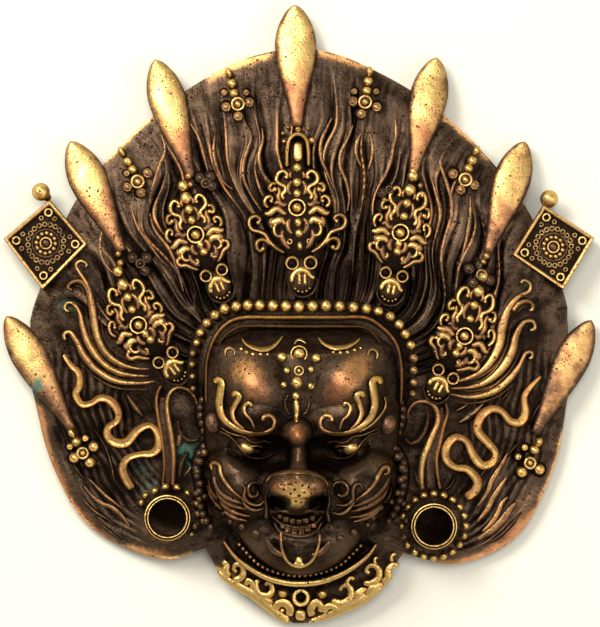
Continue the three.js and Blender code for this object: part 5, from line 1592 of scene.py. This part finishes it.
@dataclass(frozen=True)
class Plaque:
    """A square plaque given by its corners, with a ball beyond one of them."""

    corners: tuple[Point, ...]
    ball: Point

    top: float = 13.0
    # Share of the size, depth below the top and wear, from the middle over the border down to the back
    section: tuple[Triple, ...] = ((0, 1.7, 0.05), (0.5, 1.7, 0.08), (0.86, 1.7, 0.02), (0.88, 0.3, 0.45),
                                   (0.92, 0, 0.8), (0.97, 0, 0.84), (1.0, 0.6, 0.6), (1.0, 9.8, 0.2),
                                   (0.97, 10.4, 0), (0, 10.4, 0))

    def place(self, u: float, v: float) -> Point:
        """A point of the plaque, both shares from -1 to 1."""
        a, b, c, d = (np.array(corner) for corner in self.corners)
        s, t = (u + 1) / 2, (v + 1) / 2
        spot = a * (1 - s) * (1 - t) + b * s * (1 - t) + c * s * t + d * (1 - s) * t
        return float(spot[0]), float(spot[1])

    def round_the_middle(self, share: float, count: int, turn: float = 0.0) -> list[Point]:
        """Points on a ring inside the plaque, the first one turned by so many degrees."""
        angles = [math.radians(turn + 360 / count * k) for k in range(count)]
        return [self.place(share * math.cos(a), share * math.sin(a)) for a in angles]

    def build(self, piece: Casting) -> None:
        """Adds the plaque."""
        closed = np.array([*self.corners, self.corners[0]])
        outline = evenly(closed, 96, True)
        for corner in self.corners:
            gaps = np.hypot(*(outline - corner).T)
            if gaps.min() < length_of(closed) / 96:
                outline[int(gaps.argmin())] = corner
        rows = [(share, self.top - deep, worn) for share, deep, worn in self.section]
        piece.moulded(outline, rows, level(0.0), tone=0.55)
        floor = self.top - 1.8
        middle = self.place(0, 0)
        piece.bead(middle, 1.7, floor, high=0.9, tone=0.2, wear=0.35, detail=16)
        piece.ring(middle, 2.2, 0.45, floor, high=1.4, tone=WARM, wear=0.75)
        for spot in self.round_the_middle(0.32, 12, 15):
            piece.bead(spot, 1.0, floor, high=1.5, tone=0.8, wear=0.85, detail=8)
        piece.ring(middle, 5.5, 0.3, floor, high=0.8, tone=COPPER, wear=0.45, sides=40)
        for spot in self.round_the_middle(0.6, 20):
            piece.ring(spot, 0.85, 0.34, floor, high=1.1, tone=0.55, wear=0.6, sides=9)
        for u, v in ((-1, -1), (1, -1), (1, 1), (-1, 1)):
            piece.ring(self.place(0.7 * u, 0.7 * v), 1.4, 0.5, floor, high=1.6, tone=0.9, wear=0.9, sides=18)
            for du, dv in ((0.72, 0.4), (0.4, 0.72)):
                spot = self.place(du * u, dv * v)
                piece.ring(spot, 0.75, 0.32, floor, high=1.0, tone=WARM, wear=0.6, sides=9)
        near = min(self.corners, key=lambda corner: math.dist(corner, self.ball))
        piece.strip([near, self.ball], (1.6, 1.8), 5.0, level(4.0), tone=COPPER, wear=0.5, sunk=1.0)
        piece.bead(self.ball, 3.6, 8.0, high=4.2, tone=0.85, wear=0.85, detail=28)


PLAQUES = (
    Plaque(((-117.8, 30), (-99.4, 45.6), (-84.2, 28), (-102.2, 9.6)), (-103, 48.8)),
    Plaque(((85.4, 23.6), (97.8, 43.6), (118.2, 30.4), (105.8, 9.6)), (100.2, 46)),
)


# Ears, cups, plumes and ribbons

EARS = (
    ([(-54.2, -68), (-53.4, -60), (-54.2, -50.4), (-55.8, -41.6), (-56.6, -35.6), (-56.2, -31.6),
      (-54.6, -28.4)], (0.5, 0.8, 0.9, 0.9, 0.6), 0.8),
    ([(-50.2, -68.8), (-49.8, -61.6), (-49.8, -55.2), (-51, -46.4), (-52.2, -39.2), (-52.2, -34.4),
      (-50.6, -30.8), (-47.4, -29.2), (-43.8, -30.4), (-41, -33.6), (-39.8, -38.8)],
     (0.9, 1.2, 1.5, 1.5, 1.3, 1, 0.7, 0.5), 0.72),
    ([(-52.2, -68), (-51.8, -58.4), (-52.6, -48.8), (-54.2, -39.2), (-54.2, -32.8)], (1.2, 2.2, 2.2, 1.2),
     0.26),
    ([(-48.2, -42.4), (-47, -47.2), (-43.8, -50.4), (-39.4, -50)], (0.5, 1, 1, 0.6), 0.5),
    ([(-44.2, -55.2), (-46.6, -60), (-47.4, -65.6)], (0.6, 1.4, 0.8), 0.36),
    ([(43.4, -42), (43.8, -38.4), (46.2, -35.6), (49.8, -34.8), (53.4, -36), (55.4, -39.2), (55.4, -43.6),
      (53.4, -48.4), (51.4, -53.2), (49.8, -57.2), (49, -61.6), (49, -66.4), (49.4, -70.4)],
     (0.5, 0.9, 1.2, 1.4, 1.6, 1.8, 1.8, 1.6, 1.2), 0.72),
    ([(58.6, -35.2), (59.4, -39.6), (57.8, -45.2), (56.6, -50.4), (55, -57.2), (55.4, -63.6), (56.6, -70)],
     (0.5, 0.9, 1, 0.9, 0.6), 0.9),
    ([(57, -36.8), (57, -43.2), (54.6, -50.4), (52.6, -57.6), (52.6, -64), (53, -70.4)], (0.8, 2, 2.2, 2),
     0.28),
    ([(51.8, -39.2), (51, -44.8), (48.2, -50), (44.6, -51.6), (42.2, -49.6)], (0.5, 1, 1.1, 0.6), 0.54),
    ([(46.2, -62.4), (47.4, -66.4), (50.2, -70.4)], (0.5, 1.2, 0.6), 0.4),
)
PLUMES = (
    ([(-59.4, -22), (-65.4, -21.6), (-71.4, -19.6), (-76.6, -15.6), (-80.2, -9.2), (-81.8, -0.8),
      (-83, 6.4), (-84.6, 12), (-87.4, 16.4), (-89, 19.6), (-87, 21.2), (-84.6, 20), (-85.4, 18.4)],
     (0.6, 1, 1.6, 2, 2.3, 2.2, 1.4, 1.1, 0.9)),
    ([(-83.4, 7.2), (-85, 11.2), (-87.8, 13.2), (-91, 12.4), (-92.2, 10.4), (-90.2, 9.6)],
     (1.2, 1.2, 1.1, 0.9)),
    ([(-59.4, -24.8), (-66.6, -24.4), (-73, -22.8), (-79, -18.8), (-83.8, -12), (-86.2, -5.2), (-87.4, 0.4),
      (-89.8, 4), (-92.6, 4.4), (-93.4, 2), (-91.4, 0.8)], (0.6, 1, 1.5, 1.9, 2.1, 1.5, 1, 0.9)),
    ([(-57, -26.8), (-63.4, -27.6), (-72.6, -26.8), (-80.6, -22.4), (-85.8, -16.4), (-88.6, -10.8),
      (-91.4, -7.2), (-93.8, -8.4), (-93, -10.8)], (0.7, 1.2, 1.8, 2.2, 1.7, 1)),
    ([(59, -27.6), (66.6, -26), (73, -22.8), (77.4, -18), (80.2, -12), (81.4, -4.8), (83.8, 2), (87.8, 6.8),
      (92.2, 9.2), (92.6, 12), (90.2, 13.6), (88.6, 12)], (0.7, 1.2, 1.9, 2.6, 2.8, 1.8, 1.1, 0.9)),
    ([(85.4, 0.8), (87.8, 4), (91, 5.2), (93.4, 4), (93.4, 1.6), (91.8, 1.6)], (1.4, 1.3, 1.1, 0.9)),
    ([(59.8, -29.6), (68.6, -29.2), (75.4, -26.8), (81.4, -21.6), (85.4, -14.8), (87, -8.4), (89.8, -3.6),
      (93.4, -2.8), (94.6, -5.6), (92.2, -6.8)], (0.7, 1.1, 1.9, 2.6, 2.3, 1.3, 1)),
    ([(59, -31.6), (68.6, -33.2), (77.4, -31.2), (83.8, -26.4), (88.2, -20.8), (90.6, -16), (93, -15.2),
      (93.4, -17.2), (91.8, -18)], (0.7, 1.2, 1.9, 2, 1.3, 0.9)),
)
RIBBONS = (
    ([(-93.8, -16), (-93, -17.6), (-90.6, -20.8), (-87.8, -23.6), (-87.4, -28.4), (-89, -32), (-86.6, -36),
      (-82.6, -35.6), (-79.4, -33.6), (-75.4, -34.4), (-72.2, -38.4), (-72.2, -42.4), (-75.8, -45.2),
      (-76.2, -48.4), (-73.4, -51.2), (-68.6, -51.2), (-64.2, -46.4), (-59.4, -44.4), (-56.2, -47.6),
      (-55.8, -52.8), (-58.6, -55.6), (-63.4, -56), (-68.2, -57.6), (-70.2, -61.6), (-68.6, -66.4),
      (-66.2, -70)], (0.8, 1.5, 1.6, 1.3, 1.9, 1.3, 2, 1.9, 1.3, 1.9, 1.2, 1.8, 1.7)),
    ([(97, -24.8), (92.6, -29.2), (90.2, -33.2), (90.6, -39.2), (88.6, -43.2), (84.6, -42.8), (81, -38.8),
      (76.6, -38), (72.6, -41.2), (71.4, -46.4), (75.4, -51.2), (78.6, -55.2), (77.4, -59.2), (73.4, -60.4),
      (69.8, -56.4), (67, -50.8), (62.6, -49.2), (59, -52.8), (59, -58), (62.6, -61.2), (67.4, -62),
      (71.4, -66.4), (70.6, -70.4), (66.6, -73.6)],
     (0.6, 1.3, 1.9, 1.4, 1.9, 1.9, 1.4, 2, 1.4, 1.9, 1.4, 2, 1.8)),
)
# Ear cups: middle, and the places of the beads round each
CUPS = (
    ((-52.2, -81.2),
     [(-62.6, -75.2, 1.2), (-61, -72.4, 1.2), (-57.2, -70.6, 1.36), (-53, -69, 1.44), (-48.4, -69.2, 1.36),
      (-44.2, -71.4, 1.2), (-41.4, -75.6, 1.04), (-40.2, -79.6, 0.96), (-40.6, -83.6, 0.96),
      (-42.6, -87.6, 0.96)]),
    ((54, -84.6),
     [(66.8, -84.6, 1.32), (66.2, -88.6, 1.32), (64.4, -92.1, 1.32), (61.5, -95, 1.32), (58, -96.8, 1.32),
      (54, -97.4, 1.32), (50, -96.8, 1.32), (46.5, -95, 1.32), (43.6, -92.1, 1.32), (41.8, -88.6, 1.32),
      (41.2, -84.6, 1.32), (41.8, -80.6, 1.32), (43.6, -77.1, 1.32), (46.5, -74.2, 1.32), (50, -72.4, 1.32),
      (54, -71.8, 1.32), (58, -72.4, 1.32), (61.5, -74.2, 1.32), (64.4, -77.1, 1.32), (66.2, -80.6, 1.32)]),
)
# A cup from its floor over the rim to the fan: share of its radius, height and wear
CUP_WALL = ((0, 7.5, 0), (0.74, 7.5, 0), (0.78, 8.0, 0), (0.79, 18.6, 0), (0.8, 20.2, 0.4), (0.83, 20.9, 0.9),
            (0.87, 20.9, 0.9), (0.9, 20.0, 0.0), (0.935, 20.0, 0.0), (0.95, 20.6, 0.8), (0.985, 20.5, 0.8),
            (1.02, 18.6, 0.15), (1.06, 6.2, 0.15), (0, 6.2, 0.2))


class Sides:
    """What lies on the fan beside the face: ears, cups, plumes and ribbons."""

    cup_radius: float = 9.2
    slimmer: float = 0.84

    def build(self, material: Material) -> Thing:
        """Builds both sides."""
        piece = Casting("ears_plumes_ribbons")
        for path, widths, worn in EARS:
            high, profile = (3.8, Profile.ROUND) if worn > 0.3 else (2.6, Profile.LIPPED)
            piece.strip(path, widths, high, DOME.top, tone=(0.1, 0.3, 0.7, 0.4) if worn > 0.7 else DARK,
                        wear=worn, sunk=2, profile=profile)
        for path, widths in PLUMES:
            slim = [self.slimmer * w for w in widths]
            piece.strip(path, slim, 3.2, DOME.top, tone=(0.2, 0.55, 0.7, 0.3, 0.3, 0.75), wear=0.7, sunk=2)
            dense = curve(path)
            line = resampled(dense, length_of(dense) * np.linspace(0.06, 0.6, 12))
            for side in (-1, 1):
                rib = np.hstack(beside(line, side * (max(slim) + 0.75)))
                piece.strip(rib, (0.3, 0.5, 0.3), 1.7, DOME.top, tone=(0.1, 0.4, 0.1), wear=0.55, step=1.2)
        for path, widths in RIBBONS:
            piece.strip(path, widths, 3.0, DOME.top, profile=Profile.LIPPED,
                        tone=(0.5, 0.7, 0.35, 0.8, 0.4, 0.75, 0.5), wear=0.82, sunk=2)
        for at, beads in CUPS:
            piece.moulded(disc(at, self.cup_radius, 48), CUP_WALL, level(0.0), tone=0.8)
            piece.beads(beads, raised(DOME.top, 0.9), larger=1.25, high=2.9, tone=0.9, wear=0.88, detail=12)
        return piece.finish(material)


# The collar

NECKLACE_RIDGE = [
    (-29.8, -90.4), (-25, -96.8), (-19.4, -101.2), (-13, -104.8), (-6.2, -106.8), (0.6, -107.4),
    (8.6, -106.6), (16.6, -103.8), (23, -100), (27.8, -96), (31, -91.6),
]
NECKLACE_DOTS = [(-24.2, -91.2), (-14.2, -100.8), (0.2, -104.2), (15, -100.8), (25.4, -91.6)]
COLLAR_SCROLLS = (
    ([(17, -111.2), (17, -109.2), (19.4, -108.4), (21, -110.4), (20.6, -113.6), (18.2, -115.6),
      (15.4, -115.6), (13, -113.6)], (0.9, 1.3, 1.7, 1.9, 1.5)),
    ([(20.2, -109.6), (19.4, -106.8), (21, -105.2), (22.6, -106.4)], (1, 1.1, 0.9)),
    ([(29, -103.6), (27, -102.8), (27.8, -100.8), (30.2, -100.4), (32.2, -102.4), (31.8, -105.6),
      (29, -107.6), (25.4, -107.2)], (0.9, 1.1, 1.5, 1.6, 1.2)),
    ([(31, -100.4), (30.2, -98), (31.8, -96.8)], (0.9, 0.7)),
    ([(21.4, -115.2), (23.4, -112.4), (25.8, -110.4), (27.4, -111.2)], (1.2, 1.9, 1.3)),
    ([(27, -113.2), (28.6, -110.4), (31.4, -108.4), (34.2, -108)], (1.4, 1.8, 1)),
    ([(33, -107.6), (35.8, -105.2), (35.8, -102), (37.8, -100), (40.2, -100.8)], (1.3, 1.7, 1.3, 0.9)),
    ([(37.4, -99.2), (37, -96.8), (39, -95.2)], (0.9, 0.7)),
    ([(-13.4, -108.8), (-12.2, -107.2), (-10.6, -108.8), (-11, -111.6), (-13.8, -112.8), (-16.2, -111.2),
      (-17, -108), (-15.8, -105.6)], (0.8, 1.2, 1.7, 1.5, 0.9)),
    ([(-14.6, -112.8), (-12.2, -114.8), (-9.8, -114.4)], (1.6, 1.4)),
    ([(-24.2, -103.2), (-25.8, -102), (-25, -100), (-22.6, -100.4), (-21.8, -103.2), (-23.4, -105.6),
      (-26.6, -106.4)], (0.8, 1.2, 1.6, 1.5)),
    ([(-27, -105.2), (-29, -102.8), (-28.6, -100), (-30.6, -98.4)], (1.4, 1.6, 1)),
    ([(-21, -108.8), (-20.2, -106.4), (-18.2, -107.6), (-18.6, -110.4)], (1.1, 1.4, 1.3)),
    ([(-9.4, -118.8), (-8.2, -116), (-5.4, -115.6), (-3.4, -117.6), (-3.8, -121.2)], (1.6, 1.9, 2, 1.6)),
    ([(-5.8, -119.2), (-7.4, -118)], (1.2, 1)),
    ([(5.4, -121.2), (5, -117.6), (7, -115.2), (9, -116.8), (8.6, -119.6)], (1.6, 1.9, 1.7, 1.4)),
    ([(9.4, -119.6), (11.8, -116.8), (14.6, -117.2), (15.8, -119.2)], (1.4, 1.6, 1.2)),
    ([(0.8, -117.6), (0.8, -120.4), (0.6, -122.8)], (2, 2.2, 2.2)),
)
COLLAR_EDGES = [
    [(-32.2, -102.8), (-28.6, -106), (-23.4, -109.2), (-17.8, -112.4), (-12.2, -116.8), (-7.4, -120.8),
     (-3.4, -122.8)],
    [(4.6, -122.8), (10.2, -121.2), (15.8, -118.8), (21.4, -116.4), (27, -113.2), (33.4, -108.4)],
]
# The ring in the middle and the two bosses beside it
COLLAR_RING = (1, -113.2)
COLLAR_BOSSES = [(-6.2, -111.4, 2.48), (9.4, -111.6, 2.48)]


class Collar:
    """The collar below the chin, with its necklace."""

    def build(self, material: Material) -> Thing:
        """Builds the collar."""
        piece = Casting("collar")
        base = raised(DOME.top, 1.0)
        piece.strip(NECKLACE_RIDGE, (0.9, 1.5, 1.9, 2.0, 1.9, 1.5, 0.9), 11.4, DOME.top, tone=0.2, wear=0.24,
                    sunk=2, thin=0.85)
        piece.strip(NECKLACE_RIDGE, (0.5, 1.0, 1.3, 1.4, 1.3, 1.0, 0.5), 2.0, raised(DOME.top, 10.6),
                    tone=(0.2, 0.7, 0.95, 0.7, 0.2), wear=0.9)
        piece.strip(NECKLACE_DOTS, (1.2,), 7.6, level(12.0), tone=DARK, wear=0.12, sunk=5, thin=1.0)
        dots = curve(NECKLACE_DOTS)
        for x, y in resampled(dots, np.linspace(1.0, length_of(dots) - 1.0, 27)):
            piece.bead((x, y), 0.95, 20.0, high=1.6, tone=0.5, wear=0.6, detail=8)
        for path, widths in COLLAR_SCROLLS:
            piece.strip(path, widths, 4.6, base, tone=0.9, wear=0.9, step=0.7, profile=Profile.BAND)
        piece.strips(COLLAR_EDGES, (0.9, 1.9, 2.1, 1.7), 3.4, base, tone=GOLD, wear=0.92,
                     profile=Profile.BAND)
        piece.bead(COLLAR_RING, 2.2, base, high=0.8, tone=BLACK, wear=0)
        piece.ring(COLLAR_RING, 2.8, 1.15, base, high=5.2, tone=GOLD, sides=32)
        piece.beads(COLLAR_BOSSES, base, high=5.2, tone=GOLD, detail=18)
        return piece.finish(material)


class Ornaments:
    """Blades, crests, flowers and plaques."""

    def build(self, material: Material) -> list[Thing]:
        """Builds each kind as one piece."""
        kinds = {"blades": BLADES, "skull_crests": CRESTS, "plaques": PLAQUES, "flowers": FLOWERS}
        pieces = {name: Casting(name) for name in kinds}
        for name, piece in pieces.items():
            for part in kinds[name]:
                part.build(piece)
        pieces["flowers"].beads(NECK_BEADS, raised(DOME.top, 1.0), high=2.6, tone=WARM, wear=0.75)
        return [piece.finish(material) for piece in pieces.values()]


@dataclass(frozen=True)
class Lug:
    """The loop cast on the back behind the crown."""

    y: float = 54.0
    half_width: float = 9.0
    slot: float = 5.5
    half_thickness: float = 2.0
    foot: float = 2.5
    bar: float = 3.0

    def build(self, material: Material) -> Thing:
        """Builds the loop."""
        piece = Casting("hanging_lug")
        root = value_at(DOME.top, (0.0, self.y)) - 1.5
        post = (self.half_width + self.slot) / 2
        path = [(-post, root), (-post, self.foot + self.bar), (-post + 1.2, self.foot + 1.6),
                (0, self.foot + 1.5), (post - 1.2, self.foot + 1.6), (post, self.foot + self.bar),
                (post, root)]
        a = np.linspace(0, 2 * math.pi, 16, endpoint=False)
        wide, thick = (np.sign(wave) * np.abs(wave) ** 0.7 for wave in (np.cos(a), np.sin(a)))
        x, z = beside(evenly(curve(path), 40), wide * self.bar / 2)
        points = np.stack([x, self.y + thick * self.half_thickness + 0 * x, z], axis=-1)
        first, last = (np.broadcast_to(end.mean(axis=0), end.shape)[None] for end in (points[0], points[-1]))
        piece.grid(np.concatenate([first, points, last]), 0.3, 0.2)
        return piece.finish(material)


# Materials


class Value:
    """A socket of a shader that can be reckoned with."""

    def __init__(self, graph: "Graph", socket: bpy.types.NodeSocket) -> None:
        """Wraps a socket."""
        self.graph = graph
        self.socket = socket

    def _do(self, operation: str, a: "Value | float", b: "Value | float") -> "Value":
        """Runs one operation of a Math node."""
        return self.graph.node("ShaderNodeMath", {"operation": operation}, {0: a, 1: b})

    def __add__(self, other: "Value | float") -> "Value":
        """Sum."""
        return self._do("ADD", self, other)

    def __sub__(self, other: "Value | float") -> "Value":
        """Difference."""
        return self._do("SUBTRACT", self, other)

    def __rsub__(self, other: "Value | float") -> "Value":
        """Difference from a number."""
        return self._do("SUBTRACT", other, self)

    def __mul__(self, other: "Value | float") -> "Value":
        """Product."""
        return self._do("MULTIPLY", self, other)

    __radd__ = __add__
    __rmul__ = __mul__

    def clamped(self) -> "Value":
        """The value held between 0 and 1."""
        return self.graph.node("ShaderNodeClamp", {}, {0: self})

    def ramp(self, low: float, high: float) -> "Value":
        """0 below the first limit, 1 past the second, smooth between."""
        return self.graph.node("ShaderNodeMapRange", {"interpolation_type": "SMOOTHSTEP"},
                               {"Value": self, "From Min": low, "From Max": high})


class Graph:
    """The node tree of one material."""

    def __init__(self, name: str) -> None:
        """Starts a material with nothing but its shader."""
        self.material = bpy.data.materials.new(name)
        self.material.use_nodes = True
        self.tree = self.material.node_tree
        self.shader = next(node for node in self.tree.nodes if node.type == "BSDF_PRINCIPLED")

    def node(self, kind: str, settings: dict[str, object], inputs: dict[str | int, object],
             output: str | int = 0) -> Value:
        """Adds a node.

        Args:
            kind: Its type.
            settings: Its properties.
            inputs: What goes into its sockets, numbers or values.
            output: The socket that comes out.

        Returns:
            The output.
        """
        made = self.tree.nodes.new(kind)
        for name, value in settings.items():
            setattr(made, name, value)
        for name, value in inputs.items():
            self.feed(made.inputs[name], value)
        return Value(self, made.outputs[output])

    def feed(self, socket: bpy.types.NodeSocket, value: object) -> None:
        """Links a value to a socket, or sets it."""
        if isinstance(value, Value):
            self.tree.links.new(value.socket, socket)
        else:
            socket.default_value = value

    def mix(self, share: object, a: object, b: object) -> Value:
        """A colour between two others."""
        return self.node("ShaderNodeMix", {"data_type": "RGBA"}, {0: share, 6: a, 7: b}, 2)

    def texture(self, kind: str, output: str, **inputs: object) -> Value:
        """A pattern over the piece, its scale in lumps to the metre."""
        place = self.node("ShaderNodeTexCoord", {}, {}, "Object")
        return self.node(kind, {}, {"Vector": place, **inputs}, output)

    def noise(self, scale: float, detail: float) -> Value:
        """Noise over the piece."""
        return self.texture("ShaderNodeTexNoise", "Fac", Scale=scale, Detail=detail)

    def cells(self, scale: float) -> Value:
        """Distance from the middles of scattered cells."""
        return self.texture("ShaderNodeTexVoronoi", "Distance", Scale=scale)

    def set(self, **inputs: object) -> None:
        """Feeds the shader's sockets, named with spaces as underscores."""
        for name, value in inputs.items():
            self.feed(self.shader.inputs[name.replace("_", " ")], value)


@dataclass(frozen=True)
class Bronze:
    """Old cast bronze: dark patina in the hollows, rubbed through to copper and brass on what stands up."""

    hollow: tuple[float, ...] = (0.008, 0.004, 0.0025, 1)
    brown: tuple[float, ...] = (0.08, 0.05, 0.031, 1)
    copper: tuple[float, ...] = (0.4, 0.165, 0.075, 1)
    brass: tuple[float, ...] = (0.75, 0.5, 0.165, 1)
    verdigris: tuple[float, ...] = (0.05, 0.145, 0.11, 1)

    def material(self) -> Material:
        """Builds the material."""
        graph = Graph("bronze")
        wear, tone, green = (graph.node("ShaderNodeAttribute", {"attribute_name": name}, {}, "Fac")
                             for name in LAYERS)
        fine = graph.noise(1500.0, 4.0)
        middle = graph.noise(330.0, 4.0)
        broad = graph.noise(60.0, 2.0)
        uneven = (middle - 0.5) * 0.4 + (fine - 0.5) * 0.5 + (broad - 0.5) * 0.26
        rub = (wear + uneven * wear.ramp(0.0, 0.2) * (1.0 - wear.ramp(0.7, 1.0) * 0.4)).clamped()
        golden = (tone + (middle - 0.5) * 0.5 + (broad - 0.5) * 0.3).clamped()
        pit = (1.0 - graph.cells(420.0).ramp(0.1, 0.24)) * graph.noise(150.0, 1.0).ramp(0.5, 0.62)
        specks = (1.0 - graph.cells(950.0).ramp(0.12, 0.3)) * graph.noise(95.0, 2.0).ramp(0.47, 0.6)
        pit = (pit + specks * 0.8).clamped()
        bare = rub.ramp(0.38, 0.8)
        body = graph.mix(rub.ramp(0.0, 0.34), self.hollow, self.brown)
        colour = graph.mix(bare, body, graph.mix(golden, self.copper, self.brass))
        colour = graph.mix(pit * 0.8, colour, self.hollow)
        crust = (green * middle.ramp(0.35, 0.6)).clamped()
        colour = graph.mix(crust, colour, self.verdigris)
        rough = 0.41 + bare * (0.14 - golden * 0.2) + (fine - 0.5) * 0.24 + crust * 0.3
        height = fine * 0.4 + middle * 0.7 - pit * 1.4
        relief = {"Strength": 0.9, "Distance": 0.0004, "Height": height}
        bump = graph.node("ShaderNodeBump", {}, relief, "Normal")
        graph.set(Base_Color=colour, Roughness=rough, Metallic=(0.8 + bare * 0.2 - crust * 0.8).clamped(),
                  Normal=bump, Specular_Tint=(0.66, 0.5, 0.36, 1), Specular_IOR_Level=0.35)
        return graph.material


@dataclass(frozen=True)
class Studio:
    """The floor, the lights and the camera above."""

    distance: float = 2.6
    view_width: float = 0.24
    centre: Point = (0.6, 0.2)
    view_height: float = 8.0
    sensor: float = 36.0

    def hang(self, name: str, data: bpy.types.ID, at: Triple) -> Thing:
        """Puts something in the scene."""
        thing = bpy.data.objects.new(name, data)
        thing.location = at
        bpy.context.collection.objects.link(thing)
        return thing

    def floor(self) -> None:
        """Lays a plain pale floor."""
        bm = bmesh.new()
        bmesh.ops.create_grid(bm, x_segments=1, y_segments=1, size=3.0)
        mesh = bpy.data.meshes.new("floor")
        bm.to_mesh(mesh)
        bm.free()
        paper = Graph("paper")
        paper.set(Base_Color=(0.72, 0.7, 0.6, 1), Roughness=0.9)
        mesh.materials.append(paper.material)
        piece = self.hang("floor", mesh, (0.0, 0.0, 0.0))

    def lamp(self, name: str, at: Triple, size: float, power: float, colour: Triple) -> None:
        """Hangs a square soft light that faces the mask."""
        light = bpy.data.lights.new(name, "AREA")
        light.size = size
        light.energy = power
        light.color = colour
        lamp = self.hang(name, light, at)
        lamp.rotation_euler = lamp.location.to_track_quat("Z", "Y").to_euler()

    def build(self) -> None:
        """Sets the whole studio up."""
        self.floor()
        self.lamp("key", (-0.9, 1.0, 1.3), 0.9, 42.0, (1.0, 0.96, 0.88))
        self.lamp("fill", (1.3, -0.3, 1.2), 1.2, 12.0, (1.0, 0.97, 0.93))
        self.lamp("top", (0.1, 0.5, 2.0), 0.7, 14.0, (1.0, 0.98, 0.95))
        world = bpy.data.worlds.new("studio")
        world.use_nodes = True
        background = world.node_tree.nodes["Background"]
        background.inputs["Color"].default_value = (1.0, 0.98, 0.94, 1)
        background.inputs["Strength"].default_value = 0.45
        scene = bpy.context.scene
        scene.world = world
        scene.view_settings.view_transform = "Standard"
        data = bpy.data.cameras.new("camera")
        data.sensor_fit = "HORIZONTAL"
        data.sensor_width = self.sensor
        data.lens = self.sensor * (self.distance - self.view_height * MM) / self.view_width
        scene.camera = self.hang("camera", data, (self.centre[0] * MM, self.centre[1] * MM, self.distance))


def main() -> None:
    """Builds the mask and the studio."""
    logging.basicConfig(level=logging.INFO, format="%(name)s %(message)s")
    Studio().build()
    bronze = Bronze().material()
    pieces = [builder.build(bronze) for builder in (Fan(), Face(), Hairline(), Sides(), Collar(), Lug())]
    pieces += Ornaments().build(bronze)
    LOG.info("pieces: %s", ", ".join(piece.name for piece in pieces))
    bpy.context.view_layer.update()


if __name__ == "__main__":
    main()
